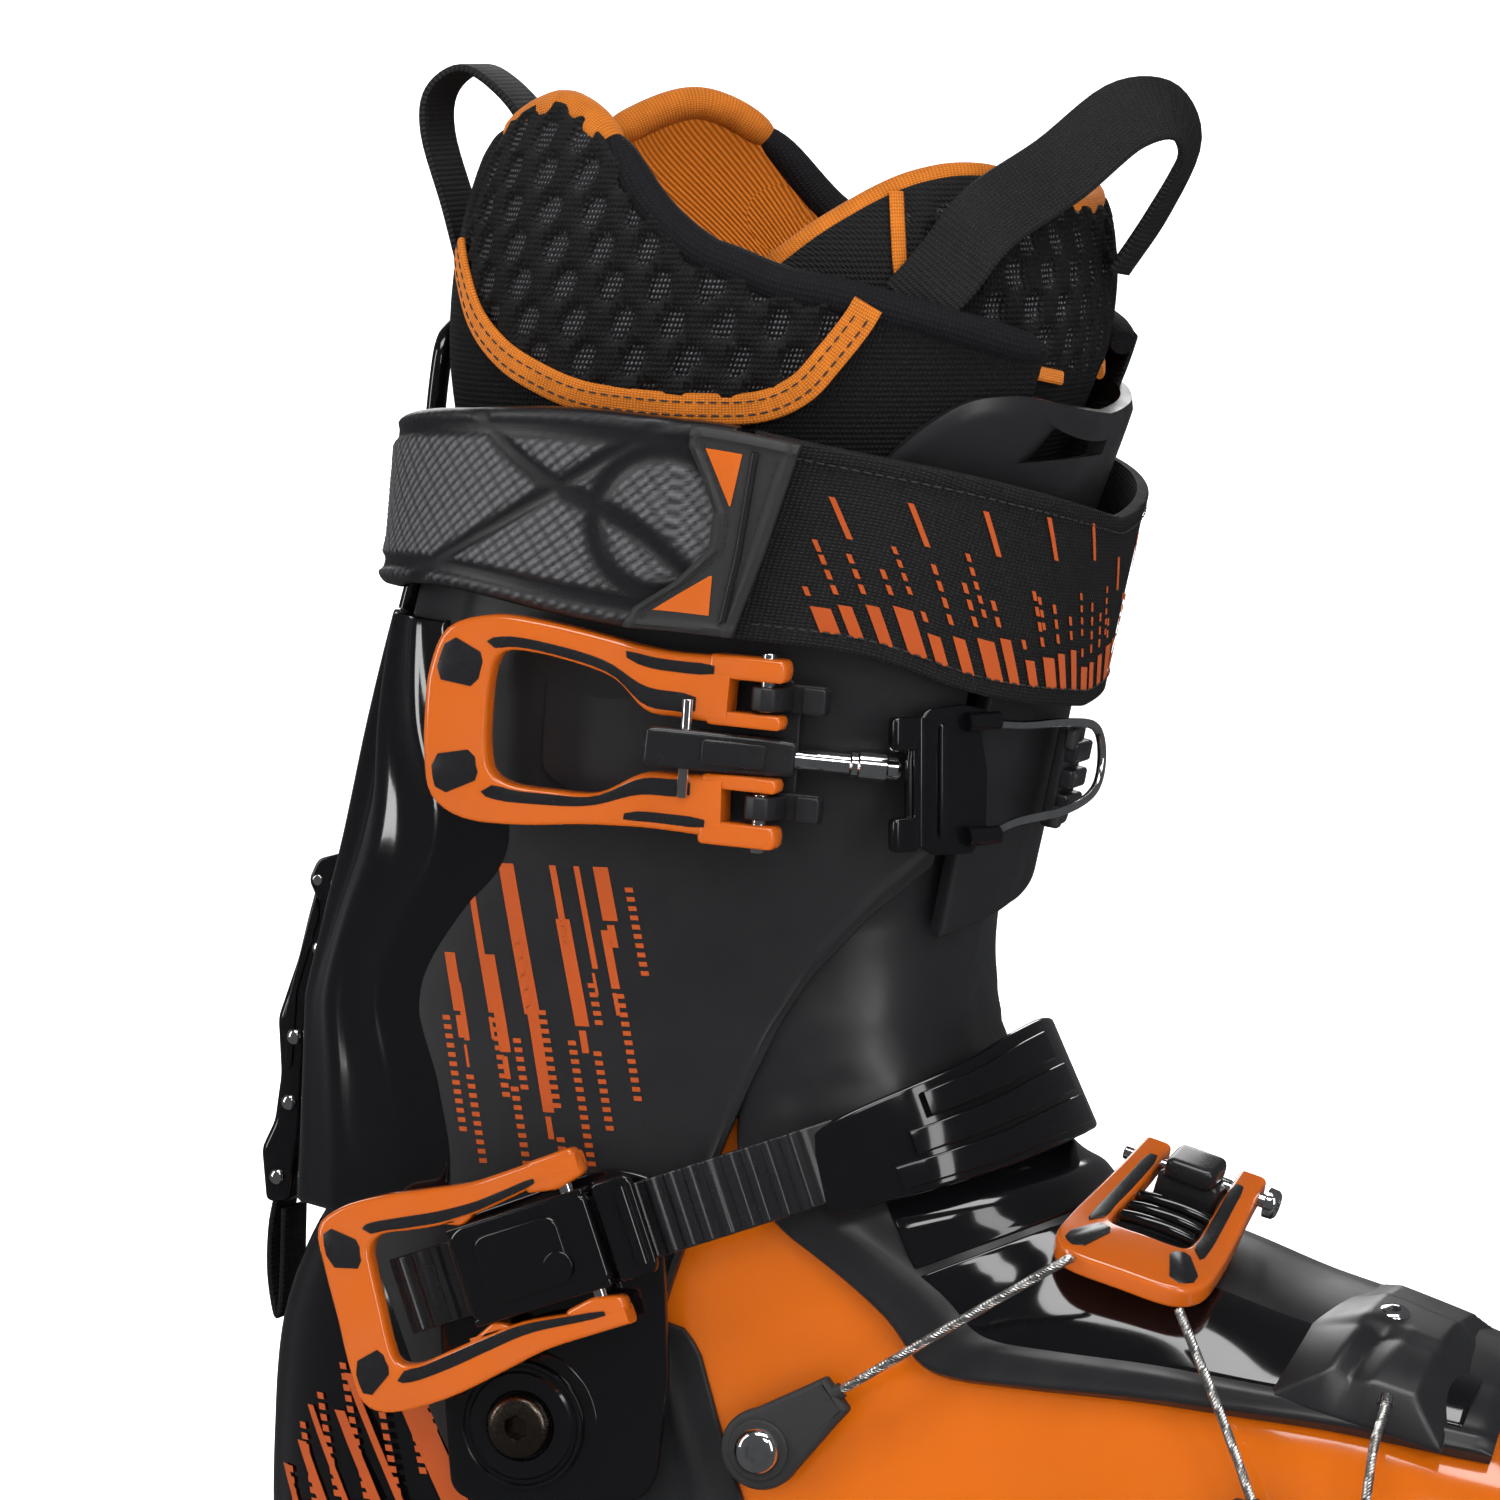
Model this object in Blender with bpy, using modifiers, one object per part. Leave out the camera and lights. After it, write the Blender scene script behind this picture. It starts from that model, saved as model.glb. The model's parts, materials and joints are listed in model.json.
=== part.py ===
"""Alpine touring boot for a right foot: shell, cuff, tongue, liner, buckles, cables and walk lever.

The frame is +X towards the toe, +Y towards the inner side of the leg and +Z up. The origin is on the
ground under the cuff pivots, on the boot's middle plane. Sizes are in millimetres and become metres where
a mesh is made.
"""

import math

import bmesh
import bpy
from mathutils import Matrix, Vector

MM = 0.001

# Driving dimensions.
PIVOT_Z = 82.0
SOLE_Z = 20.0
GAP = 0.4

# The leg: horizontal slices around a leaning leg, at the cuff's outer face.
LEG_LEVEL = 165.0
LEG_TOP_LEVEL = 262.0
LEG_FRONT_X = 84.0
LEG_REAR_X = -60.0
LEG_HALF_WIDTH = 49.0
FRONT_LEAN = 0.22
REAR_LEAN = 0.27
ANKLE_LEAN = 0.07
REAR_TOP_LEAN = 0.10
WIDTH_FLARE = 0.075
SQUARENESS = 2.6

# The foot: slanted sections at the shell's outer face, each as top x, top z, bottom x, bottom z, half width.
STATIONS = (
    (79, 160, -20, 150, 41),
    (84, 149, -38, 138, 41.5),
    (90, 140, -51, 126, 42.5),
    (97, 133, -61, 110, 43.5),
    (102, 129, -66.5, 93, 44.5),
    (106, 126.5, -68.5, 66, 45),
    (111, 124, -68, 40, 45),
    (116, 122, -64, 14, 45),
    (121, 119.5, -44, 4, 45.5),
    (128, 116.5, 0, 4, 46),
    (138, 112.5, 60, 4, 47),
    (152, 107, 110, 4, 49),
    (170, 101.5, 150, 4, 51),
    (190, 94.5, 182, 4, 50),
    (206, 88, 205, 4, 46),
    (220, 79, 220, 8, 38),
    (230, 68, 230, 16, 26),
    (234, 56, 234, 28, 13),
)

SHELL_WALL = 3.6
CUFF_WALL = 3.4
TONGUE_WALL = 3.4
LINER_WALL = 5.0
COLLAR_WALL = 6.0

COLOURS = {
    "orange_gloss": ((0.62, 0.16, 0.015), 0.18, 0.0),
    "black_gloss": ((0.012, 0.012, 0.014), 0.12, 0.0),
    "black_matte": ((0.025, 0.025, 0.028), 0.5, 0.0),
    "black_fabric": ((0.018, 0.018, 0.020), 0.9, 0.0),
    "foam": ((0.03, 0.03, 0.033), 0.8, 0.0),
    "rubber": ((0.02, 0.02, 0.02), 0.75, 0.0),
    "steel": ((0.62, 0.62, 0.62), 0.25, 1.0),
    "chrome": ((0.80, 0.80, 0.81), 0.08, 1.0),
    "board": ((0.20, 0.20, 0.21), 0.6, 0.0),
}

PARTS = None
CUTTERS = None


# ---------------------------------------------------------------- helpers


def start_scene():
    """Empty the scene and make the two collections."""
    global PARTS, CUTTERS
    for old in list(bpy.data.objects):
        bpy.data.objects.remove(old, do_unlink=True)
    PARTS = bpy.data.collections.new("touring_boot")
    CUTTERS = bpy.data.collections.new("touring_boot_cutters")
    bpy.context.scene.collection.children.link(PARTS)
    bpy.context.scene.collection.children.link(CUTTERS)


def material(name):
    """A Principled material from the colour table, made once."""
    found = bpy.data.materials.get(name)
    if found:
        return found
    colour, roughness, metallic = COLOURS[name]
    made = bpy.data.materials.new(name)
    made.use_nodes = True
    shader = made.node_tree.nodes["Principled BSDF"]
    shader.inputs["Base Color"].default_value = (*colour, 1.0)
    shader.inputs["Roughness"].default_value = roughness
    shader.inputs["Metallic"].default_value = metallic
    return made


def add_object(name, mesh, look, collection=None):
    """Link a mesh or curve as a named object with one material."""
    made = bpy.data.objects.new(name, mesh)
    (collection or PARTS).objects.link(made)
    mesh.materials.append(material(look))
    return made


def smooth(part, angle=40.0):
    """Shade round stretches smooth and keep corners sharp."""
    part.data.shade_smooth()
    part.data.set_sharp_from_angle(angle=math.radians(angle))


def mesh_of(name, build):
    """A new mesh filled by a function that takes a bmesh."""
    shape = bmesh.new()
    build(shape)
    mesh = bpy.data.meshes.new(name)
    shape.to_mesh(mesh)
    shape.free()
    return mesh


def loft(name, rows, look, closed=False, caps=False, skip=None, wall=0.0, flip=False):
    """A skin over rows of points. skip(row, column) leaves a cell open. A wall above 0 grows outwards."""

    def build(shape):
        rings = [[shape.verts.new(Vector(p) * MM) for p in row] for row in rows]
        count = len(rings[0])
        cells = count if closed else count - 1
        for i in range(len(rings) - 1):
            for j in range(cells):
                if skip and skip(i, j):
                    continue
                k = (j + 1) % count
                cell = (rings[i][j], rings[i][k], rings[i + 1][k], rings[i + 1][j])
                shape.faces.new(cell[::-1] if flip else cell)
        if caps:
            shape.faces.new(list(reversed(rings[0])))
            shape.faces.new(rings[-1])
        loose = [v for v in shape.verts if not v.link_faces]
        bmesh.ops.delete(shape, geom=loose, context="VERTS")
        if not wall:
            bmesh.ops.recalc_face_normals(shape, faces=shape.faces)

    part = add_object(name, mesh_of(name, build), look)
    smooth(part)
    if wall:
        thicken = part.modifiers.new("wall", "SOLIDIFY")
        thicken.thickness = abs(wall) * MM
        thicken.offset = math.copysign(1.0, wall)
        thicken.use_even_offset = True
    return part


def plate(name, outline, thickness, frame, look, rounding=0.0):
    """A flat outline in a frame's first two axes, in millimetres, with its thickness centred on the third."""
    curve = bpy.data.curves.new(name, "CURVE")
    curve.dimensions = "2D"
    curve.fill_mode = "BOTH"
    curve.extrude = (thickness / 2 - rounding) * MM
    curve.bevel_depth = rounding * MM
    curve.bevel_resolution = 0
    spline = curve.splines.new("POLY")
    spline.points.add(len(outline) - 1)
    for point, (x, y) in zip(spline.points, outline):
        point.co = (x * MM, y * MM, 0.0, 1.0)
    spline.use_cyclic_u = True
    part = add_object(name, curve, look)
    part.matrix_world = frame
    return part


def to_mesh(part):
    """Replace a curve object by its welded mesh, which Booleans need."""
    bpy.context.view_layer.update()
    mesh = bpy.data.meshes.new_from_object(part.evaluated_get(bpy.context.evaluated_depsgraph_get()))
    shape = bmesh.new()
    shape.from_mesh(mesh)
    bmesh.ops.remove_doubles(shape, verts=shape.verts, dist=0.00001)
    shape.to_mesh(mesh)
    shape.free()
    name = part.name
    made = bpy.data.objects.new(name + "_mesh", mesh)
    made.matrix_world = part.matrix_world.copy()
    PARTS.objects.link(made)
    bpy.data.objects.remove(part, do_unlink=True)
    made.name = name
    return made


def axes(origin, first, second):
    """A frame matrix from a point in millimetres and two directions."""
    a = Vector(first).normalized()
    c = a.cross(Vector(second)).normalized()
    b = c.cross(a)
    frame = Matrix((a, b, c)).transposed().to_4x4()
    frame.translation = Vector(origin) * MM
    return frame


def facing(centre, direction):
    """A frame matrix at a point in millimetres whose third axis points along a direction."""
    turn = Vector(direction).to_track_quat("Z", "Y").to_matrix().to_4x4()
    return Matrix.Translation(Vector(centre) * MM) @ turn


def shifted(frame, x, y, z):
    """A frame moved along its own axes, in millimetres."""
    return frame @ Matrix.Translation(Vector((x, y, z)) * MM)


def block(name, size, frame, look, collection=None):
    """A box of a size in millimetres, centred on a frame."""

    def build(shape):
        bmesh.ops.create_cube(shape, size=1.0)
        bmesh.ops.scale(shape, vec=Vector(size) * MM, verts=shape.verts)

    part = add_object(name, mesh_of(name, build), look, collection)
    part.matrix_world = frame
    return part


def rod(name, centre, direction, radius, length, look, sides=16, collection=None):
    """A cylinder about a centre point, in millimetres, along a direction."""

    def build(shape):
        bmesh.ops.create_cone(shape, cap_ends=True, segments=sides, radius1=radius * MM, radius2=radius * MM,
                              depth=length * MM)

    part = add_object(name, mesh_of(name, build), look, collection)
    part.matrix_world = facing(centre, direction)
    smooth(part)
    return part


def turned(name, profile, centre, direction, look, sides=20):
    """A solid of revolution from (radius, height) points, from the axis at the top to the axis below."""

    def build(shape):
        points = [shape.verts.new((r * MM, 0.0, h * MM)) for r, h in profile]
        for a, b in zip(points, points[1:]):
            shape.edges.new((a, b))

    part = add_object(name, mesh_of(name, build), look)
    screw = part.modifiers.new("turn", "SCREW")
    screw.steps = sides
    screw.render_steps = sides
    screw.use_merge_vertices = True
    screw.merge_threshold = 0.00005
    part.matrix_world = facing(centre, direction)
    return part


def wire(name, points, radius, look, sides=2):
    """A round bar through points, in millimetres."""
    curve = bpy.data.curves.new(name, "CURVE")
    curve.dimensions = "3D"
    curve.bevel_depth = radius * MM
    curve.bevel_resolution = sides
    curve.use_fill_caps = True
    spline = curve.splines.new("POLY")
    spline.points.add(len(points) - 1)
    for point, place in zip(spline.points, points):
        point.co = (*(Vector(place) * MM), 1.0)
    return add_object(name, curve, look)


def flow(points, steps):
    """Points on a smooth curve through the given ones, steps to each stretch."""
    given = [Vector(p) for p in points]
    ends = [2 * given[0] - given[1]] + given + [2 * given[-1] - given[-2]]
    path = []
    for a, b, c, d in zip(ends, ends[1:], ends[2:], ends[3:]):
        for i in range(steps):
            t = i / steps
            path.append(0.5 * (2 * b + (c - a) * t + (2 * a - 5 * b + 4 * c - d) * t * t
                               + (3 * b - a - 3 * c + d) * t ** 3))
    path.append(given[-1])
    return path


def cut(part, cutter, join=False):
    """Take a cutter out of a part, or join the two."""
    change = part.modifiers.new("cut", "BOOLEAN")
    change.operation = "UNION" if join else "DIFFERENCE"
    change.solver = "EXACT"
    change.object = cutter
    cutter.hide_render = True
    cutter.display_type = "WIRE"


def drill(part, centre, direction, radius, length, sides=16):
    """Cut a round hole."""
    cutter = rod(part.name + "_drill", centre, direction, radius, length, "steel", sides, CUTTERS)
    cut(part, cutter)


def cut_block(part, size, frame):
    """Cut a box-shaped space."""
    cut(part, block(part.name + "_space", size, frame, "steel", CUTTERS))


def join_block(part, size, frame):
    """Add a box to a part as one solid."""
    cut(part, block(part.name + "_lug", size, frame, "steel", CUTTERS), join=True)


def between(knots, value):
    """The value of a broken line of (place, value) knots at a place."""
    if value <= knots[0][0]:
        return knots[0][1]
    for (a, va), (b, vb) in zip(knots, knots[1:]):
        if value <= b:
            return va + (vb - va) * (value - a) / (b - a)
    return knots[-1][1]


# ---------------------------------------------------------------- surfaces


def rounded(cosine):
    """The superellipse coordinate for a cosine or sine."""
    return math.copysign(abs(cosine) ** (2.0 / SQUARENESS), cosine)


def leg_span(z):
    """Front x, rear x and half width of the leg at a height."""
    low = min(z, LEG_LEVEL) - LEG_LEVEL
    high = max(z, LEG_LEVEL) - LEG_LEVEL
    rear_high = min(max(z, LEG_LEVEL), LEG_TOP_LEVEL) - LEG_LEVEL
    above = max(z - LEG_TOP_LEVEL, 0.0)
    front = LEG_FRONT_X + ANKLE_LEAN * low + FRONT_LEAN * high
    rear = LEG_REAR_X + ANKLE_LEAN * low + REAR_LEAN * rear_high + REAR_TOP_LEAN * above
    return front, rear, LEG_HALF_WIDTH + WIDTH_FLARE * high


def leg_point(z, degrees, offset=0.0):
    """A point on the leg: 0 degrees is the front, 90 the outer side and 180 the rear."""
    front, rear, half_width = leg_span(z)
    turn = math.radians(degrees)
    x = (front + rear) / 2 + ((front - rear) / 2 + offset) * rounded(math.cos(turn))
    y = -(half_width + offset) * rounded(math.sin(turn))
    return Vector((x, y, z))


def leg_angle(x, z):
    """The angle, 0 to 180, at which the leg's side passes x at height z."""
    front, rear, _ = leg_span(z)
    along = (x - (front + rear) / 2) / ((front - rear) / 2)
    along = max(-1.0, min(1.0, along))
    return math.degrees(math.acos(math.copysign(abs(along) ** (SQUARENESS / 2.0), along)))


def station(place):
    """The foot section at a place along the stations, between them where the place is fractional."""
    place = max(0.0, min(len(STATIONS) - 1.001, place))
    i = int(place)
    t = place - i
    return [a + (b - a) * t for a, b in zip(STATIONS[i], STATIONS[i + 1])]


def foot_point(place, degrees, offset=0.0, floor=None):
    """A point on the foot: 0 degrees is the instep ridge, 90 the outer side and 180 the sole or heel."""
    top_x, top_z, low_x, low_z, half_width = station(place)
    middle = Vector(((top_x + low_x) / 2, 0, (top_z + low_z) / 2))
    reach = Vector(((top_x - low_x) / 2, 0, (top_z - low_z) / 2))
    turn = math.radians(degrees)
    point = middle + reach.normalized() * (reach.length + offset) * rounded(math.cos(turn))
    point.y = -(half_width + offset) * rounded(math.sin(turn))
    point.z = max(point.z, SOLE_Z - offset if floor is None else floor)
    return point


# ---------------------------------------------------------------- lower shell and sole


SHELL_COLUMNS = 24
OPEN_HALF = 30.0
OPEN_UNTIL = 10
TONGUE_HALF = 58.0

PIVOT_BOLT_RADIUS = 4.0
PIVOT_HOLE_RADIUS = 4.4


def lower_shell():
    """The hard shell round the foot, open at the ankle and under the tongue."""
    step = 360.0 / SHELL_COLUMNS
    rows = [[foot_point(s, j * step) for j in range(SHELL_COLUMNS)] for s in range(1, len(STATIONS))]
    open_columns = int(OPEN_HALF / step)

    def skip(i, j):
        return i < OPEN_UNTIL and (j < open_columns or j >= SHELL_COLUMNS - open_columns)

    shell = loft("lower_shell", rows, "orange_gloss", closed=True, skip=skip, wall=-SHELL_WALL)
    shape = bmesh.new()
    shape.from_mesh(shell.data)
    rim = [e for e in shape.edges if e.is_boundary and all(v.co.x > 233.9 * MM for v in e.verts)]
    bmesh.ops.contextual_create(shape, geom=rim)
    bmesh.ops.recalc_face_normals(shape, faces=shape.faces)
    shape.to_mesh(shell.data)
    shape.free()
    for side in (-1, 1):
        drill(shell, (0, side * 44, PIVOT_Z), (0, 1, 0), PIVOT_BOLT_RADIUS + 0.1, 12)
    return shell


SOLE_EDGE = ((-69, 0), (-67, 15), (-59, 27), (-42, 33), (0, 34.5), (40, 34), (80, 38), (120, 43), (155, 45.5),
             (185, 43.5), (208, 35), (223, 22), (231, 9), (233, 0))
HEEL_TREAD = (-69.0, 22.0)
TOE_TREAD = (66.0, 233.0)
GROOVE = 4.5
GROOVE_DEPTH = 6.5
LUG = 16.0


def sole_half(x, inset=0.0):
    """The sole's half width at x."""
    return max(between(SOLE_EDGE, x) - inset, 0.5)


def sole_outline(start, end, inset=0.0):
    """The closed outline of the sole between two places."""
    inner = [x for x, _ in SOLE_EDGE if start < x < end]
    places = [start + inset] + [x for x in inner if start + inset + 2 < x < end - inset - 2] + [end - inset]
    side = [(x, -sole_half(x, inset)) for x in places]
    return side + [(x, -y) for x, y in reversed(side)]


def tread(name, start, end, grooves):
    """A rubber sole block with cross grooves between its lugs."""
    flat = axes((0, 0, (SOLE_Z - GAP) / 2), (1, 0, 0), (0, 1, 0))
    part = to_mesh(plate(name, sole_outline(start, end), SOLE_Z - GAP, flat, "rubber"))
    for x in grooves:
        cut_block(part, (GROOVE, 120, GROOVE_DEPTH * 2), axes((x, 0, 0), (1, 0, 0), (0, 1, 0)))
    return part


TOE_FITTING_X = 214.0
TOE_FITTING_Z = 13.5


def sole():
    """Heel and toe treads, the boot board and the steel fittings for a binding."""
    heel_grooves = [-LUG / 2 - GROOVE / 2 - i * (LUG + GROOVE) for i in range(3)] + [LUG / 2 + GROOVE / 2]
    tread("heel_tread", *HEEL_TREAD, heel_grooves)
    toe = tread("toe_tread", *TOE_TREAD, [TOE_TREAD[0] + LUG + i * (LUG + GROOVE) for i in range(7)])
    fitting_half = sole_half(TOE_FITTING_X) + 2.0
    fitting_frame = axes((TOE_FITTING_X, 0, TOE_FITTING_Z), (1, 0, 0), (0, 1, 0))
    cut_block(toe, (11, 120, 9), fitting_frame)
    fitting = block("toe_fitting", (11 - 2 * GAP, fitting_half * 2, 9 - 2 * GAP), fitting_frame, "steel")
    for side in (-1, 1):
        drill(fitting, (TOE_FITTING_X + 1, side * fitting_half, TOE_FITTING_Z), (0, 1, 0), 2.4, 8, 12)
    to_mesh(plate("boot_board", sole_outline(-52, 205, 9), 3.6,
                  axes((0, 0, SOLE_Z + SHELL_WALL + 2.6), (1, 0, 0), (0, 1, 0)), "board"))
    heel = block("heel_fitting", (3.2, 26, 20), axes((-71.2, 0, 34), (1, 0, 0), (0, 1, 0)), "steel")
    for side in (-1, 1):
        cut_block(heel, (8, 4, 9), axes((-71.2, side * 7.5, 37), (1, 0, 0), (0, 1, 0)))


def lower_tongue():
    """The tongue on the instep, over the shell's opening."""
    columns = [-TONGUE_HALF, -45, -30, -15, 0, 15, 30, 45, TONGUE_HALF]
    rows = [[foot_point(s, degrees, GAP + 0.2) for degrees in columns] for s in list(range(14)) + [13.6]]
    return loft("lower_tongue", rows, "black_gloss", wall=TONGUE_WALL)


LINER_GAP = 3.4
LINER_FLOOR = 12.0


def liner_foot():
    """The foot of the liner, closed at the toe and open at the ankle."""
    step = 360.0 / SHELL_COLUMNS
    places = [0.8] + [float(s) for s in range(1, 15)] + [14.6]
    inset = SHELL_WALL + LINER_GAP
    rows = [[foot_point(s, j * step, -inset, SOLE_Z + LINER_FLOOR) for j in range(SHELL_COLUMNS)]
            for s in places]
    part = loft("liner_foot", rows, "black_fabric", closed=True, wall=-LINER_WALL)
    shape = bmesh.new()
    shape.from_mesh(part.data)
    shape.verts.ensure_lookup_table()
    last = shape.verts[-SHELL_COLUMNS:]
    shape.faces.new(last)
    bmesh.ops.recalc_face_normals(shape, faces=shape.faces)
    shape.to_mesh(part.data)
    shape.free()
    return part


# ---------------------------------------------------------------- cuff


CUFF_LOWER_EDGE = ((82, 198), (58, 174), (47, 154), (40, 138), (30, 112), (19, 74), (0, 63), (-19, 72),
                   (-31, 100), (-41, 122), (-58, 144), (-62, 148))
FLAP_START_ANGLE = 326.0
MEDIAL_FLAP_ANGLE = 388.0
CUFF_TOP = 262.0
FLAP_TIP_Z = 182.0


def cuff_low(degrees):
    """Height of the cuff's lower edge at an angle round the leg."""
    folded = degrees if degrees <= 180 else 360 - degrees
    knots = sorted((leg_angle(x, z), z) for x, z in CUFF_LOWER_EDGE)
    if degrees > FLAP_START_ANGLE:
        flap = ((FLAP_START_ANGLE, knots[0][1]), (350, 190), (MEDIAL_FLAP_ANGLE, FLAP_TIP_Z))
        return between(flap, degrees)
    return between(knots, folded)


def cuff_angles():
    """Angles of the cuff's columns, closer together beside the pivots."""
    lateral = [34, 44, 54, 62, 68, 73, 78, 83, 88, 93, 98, 104, 110, 118, 127, 138, 152, 166, 180]
    medial = [360 - a for a in reversed(lateral[:-1])]
    return lateral + medial + [334, 342, 350, 358, 366, 374, 382, MEDIAL_FLAP_ANGLE]


CUFF_ROWS = 7


def cuff_shell():
    """The cuff, wrapped round the leg with its inner flap past the front."""
    rows = []
    for i in range(CUFF_ROWS + 1):
        row = []
        for degrees in cuff_angles():
            low = cuff_low(degrees)
            row.append(leg_point(low + (CUFF_TOP - low) * i / CUFF_ROWS, degrees))
        rows.append(row)
    part = loft("cuff_shell", rows, "black_matte", wall=-CUFF_WALL, flip=True)
    for side in (-1, 1):
        drill(part, (0, side * 47, PIVOT_Z), (0, 1, 0), PIVOT_HOLE_RADIUS, 16, 20)
    return part


SPINE_TOP = 245.0
SPINE_LOW = 127.0


def patch(name, lows, highs, angles, offset, wall, look, rows=8, skip=None):
    """A thickened stretch of the leg between two heights that may change with the angle."""
    grid = []
    for i in range(rows + 1):
        row = []
        for degrees in angles:
            low = lows(degrees) if callable(lows) else lows
            high = highs(degrees) if callable(highs) else highs
            z = low + (high - low) * i / rows
            reach = offset(z) if callable(offset) else offset
            row.append(leg_point(z, degrees, reach))
        grid.append(row)
    return loft(name, grid, look, skip=skip, wall=wall, flip=True)


def spread(start, end, count):
    """Evenly spaced numbers from start to end."""
    return [start + (end - start) * i / count for i in range(count + 1)]


def rear_spine():
    """The glossy spine up the back of the cuff."""
    patch("rear_spine", SPINE_LOW, SPINE_TOP, spread(152, 208, 8), 2 * GAP, 2.0, "black_gloss")


def rear_loop():
    """The hang loop at the top of the spine."""
    patch("rear_loop", 247.0, 306.0, spread(166, 194, 6), GAP, 2.2, "black_gloss", rows=10,
          skip=lambda i, j: 4 <= i <= 8 and 1 <= j <= 4)


# ---------------------------------------------------------------- tongue and liner above the ankle


def upper_tongue():
    """The upper part of the tongue, inside the cuff."""
    patch("upper_tongue", 192.0, lambda a: 298.0 - 0.004 * a * a, spread(-66, 66, 12),
          lambda z: between(((265, -CUFF_WALL - 3 * GAP), (288, 2.2)), z), -2.4, "black_matte")


COLLAR_TOP = ((30, 303), (46, 307), (75, 315), (87, 319), (97, 329), (109, 343), (126, 352), (150, 346),
              (180, 330))
COLLAR_LOW = 178.0


def collar_offset(z):
    """The collar stands inside the cuff and swells above it, then closes in at its top."""
    return between(((270, -7.8), (298, -1.8), (328, -1.8), (352, -9.0)), z)


def collar_top(degrees):
    """Height of the collar's top edge."""
    folded = degrees if degrees <= 180 else 360 - degrees
    return between(COLLAR_TOP, folded)


def liner_collar():
    """The padded collar of the liner."""
    patch("liner_collar", COLLAR_LOW, collar_top, spread(30, 330, 26), collar_offset, -COLLAR_WALL,
          "black_fabric", rows=8)


def liner_tongue():
    """The padded tongue of the liner."""
    patch("liner_tongue", 188.0, lambda a: 332.0 + 0.0035 * a * a, spread(-56, 56, 10),
          lambda z: between(((268, -14.6), (306, -8.8)), z), -LINER_WALL, "black_fabric", rows=8)


LOOP_HALF_WIDTH = 9.5
LOOP_WALL = 1.8


def pull_loops():
    """The rear loop over the liner's back and the front loop over its tongue."""
    across = (0, 1, 0)
    rear = flow([(-31, -6, 318), (-35, -6, 336), (-36, -6, 352), (-29, -6, 359.6), (-19, -6, 354),
                 (-13.5, -6, 341), (-13, -6, 326)], 2)
    strip("pull_loop_rear", rear, [across] * len(rear), LOOP_HALF_WIDTH, LOOP_WALL, "black_fabric")
    front = flow([leg_point(322, 58, -4.4), leg_point(332, 48, -3.8), leg_point(344, 36, -2.4),
                  (119, -16, 352), (125, -4, 348), (122, 4, 336), leg_point(322, -6, -5.6)], 2)
    ups = [(-0.5, 0, 0.85)] * 5 + [(-0.2, 0, 1), (0.2, 0.4, 0.9), (0.2, 0.8, 0.6), (0, 1, 0.3)] + [across] * 4
    strip("pull_loop_front", front, ups, LOOP_HALF_WIDTH, LOOP_WALL, "black_fabric")


# ---------------------------------------------------------------- power strap


STRAP_INNER = 3.4
PAD_WALL = 4.4
BAND_WALL = 2.2
TAB_WALL = 2.0
STRAP_LOW_EDGE = ((0, 228), (40, 234), (62, 241.5), (90, 246), (100, 248.5), (118, 252.5), (180, 251))
STRAP_HIGH_EDGE = ((0, 270), (45, 280), (90, 290), (130, 291), (180, 284))


def strap_low(degrees):
    """Height of the strap's lower edge."""
    folded = abs(degrees) if abs(degrees) <= 180 else 360 - degrees
    return between(STRAP_LOW_EDGE, folded)


def strap_high(degrees):
    """Height of the strap's upper edge."""
    folded = abs(degrees) if abs(degrees) <= 180 else 360 - degrees
    return between(STRAP_HIGH_EDGE, folded)


def power_strap():
    """The pad round the back, the band round the front and the finger tab over their joint."""
    patch("strap_pad", strap_low, strap_high, spread(86, 274, 22), STRAP_INNER, PAD_WALL, "foam", rows=3)
    patch("strap_band", strap_low, strap_high, spread(-84, 84, 20), STRAP_INNER, BAND_WALL, "black_fabric",
          rows=3)
    patch("finger_tab", lambda a: strap_low(a) + 0.5, lambda a: strap_high(a) - 0.5, spread(70, 96, 4),
          STRAP_INNER + PAD_WALL + GAP, TAB_WALL, "rubber", rows=3)


# ---------------------------------------------------------------- upper buckle


UPPER_PIN = Vector((54.0, -60.6, 222.0))
UPPER_YAW = math.radians(1.5)
UPPER_TILT = math.radians(4.0)
UPPER_UP = Vector((math.sin(UPPER_TILT), 0.0, math.cos(UPPER_TILT)))
UPPER_ALONG = Vector((math.cos(UPPER_YAW) * math.cos(UPPER_TILT), -math.sin(UPPER_YAW),
                      -math.cos(UPPER_YAW) * math.sin(UPPER_TILT)))
SLEEVE_PIVOT = Vector((38.4, -63.4, 222.8))
ROD_END = Vector((80.0, -46.2, 218.0))
UPPER_LEVER_OUTLINE = ((-72, 3), (-71, 12), (-66, 21.5), (-53, 22.5), (-27, 19), (4.4, 19), (4.4, 14.4),
                       (-8, 14.2), (-9, 6.2), (-26, 6.5), (-34, 12.5), (-56, 16.5), (-58, 3), (-57, -10),
                       (-36, -11.5), (-26, -6.5), (-9, -6.2), (-8, -14.2), (4.4, -14.4), (4.4, -19),
                       (-27, -17.5), (-53, -19), (-65, -19), (-70, -14))
PIN_RADIUS = 1.5
THIN_PIN_RADIUS = 1.2
PIN_GAP = 0.2
PIN_SIDES = 12
DRILL_REACH = 60.0
ROD_RADIUS = 1.9
CATCH_LEAN = (0.21, 0, 1)
LUG_FROM_MIDDLE = 11.0
LUG_WIDTH = 5.0


def upper_frame():
    """The frame of the closed upper lever: along the leg, up and outwards."""
    return axes(UPPER_PIN, UPPER_ALONG, UPPER_UP)


def local(frame, x, y, z):
    """A point of a frame, in millimetres."""
    return (frame @ (Vector((x, y, z)) * MM)) / MM


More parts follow.
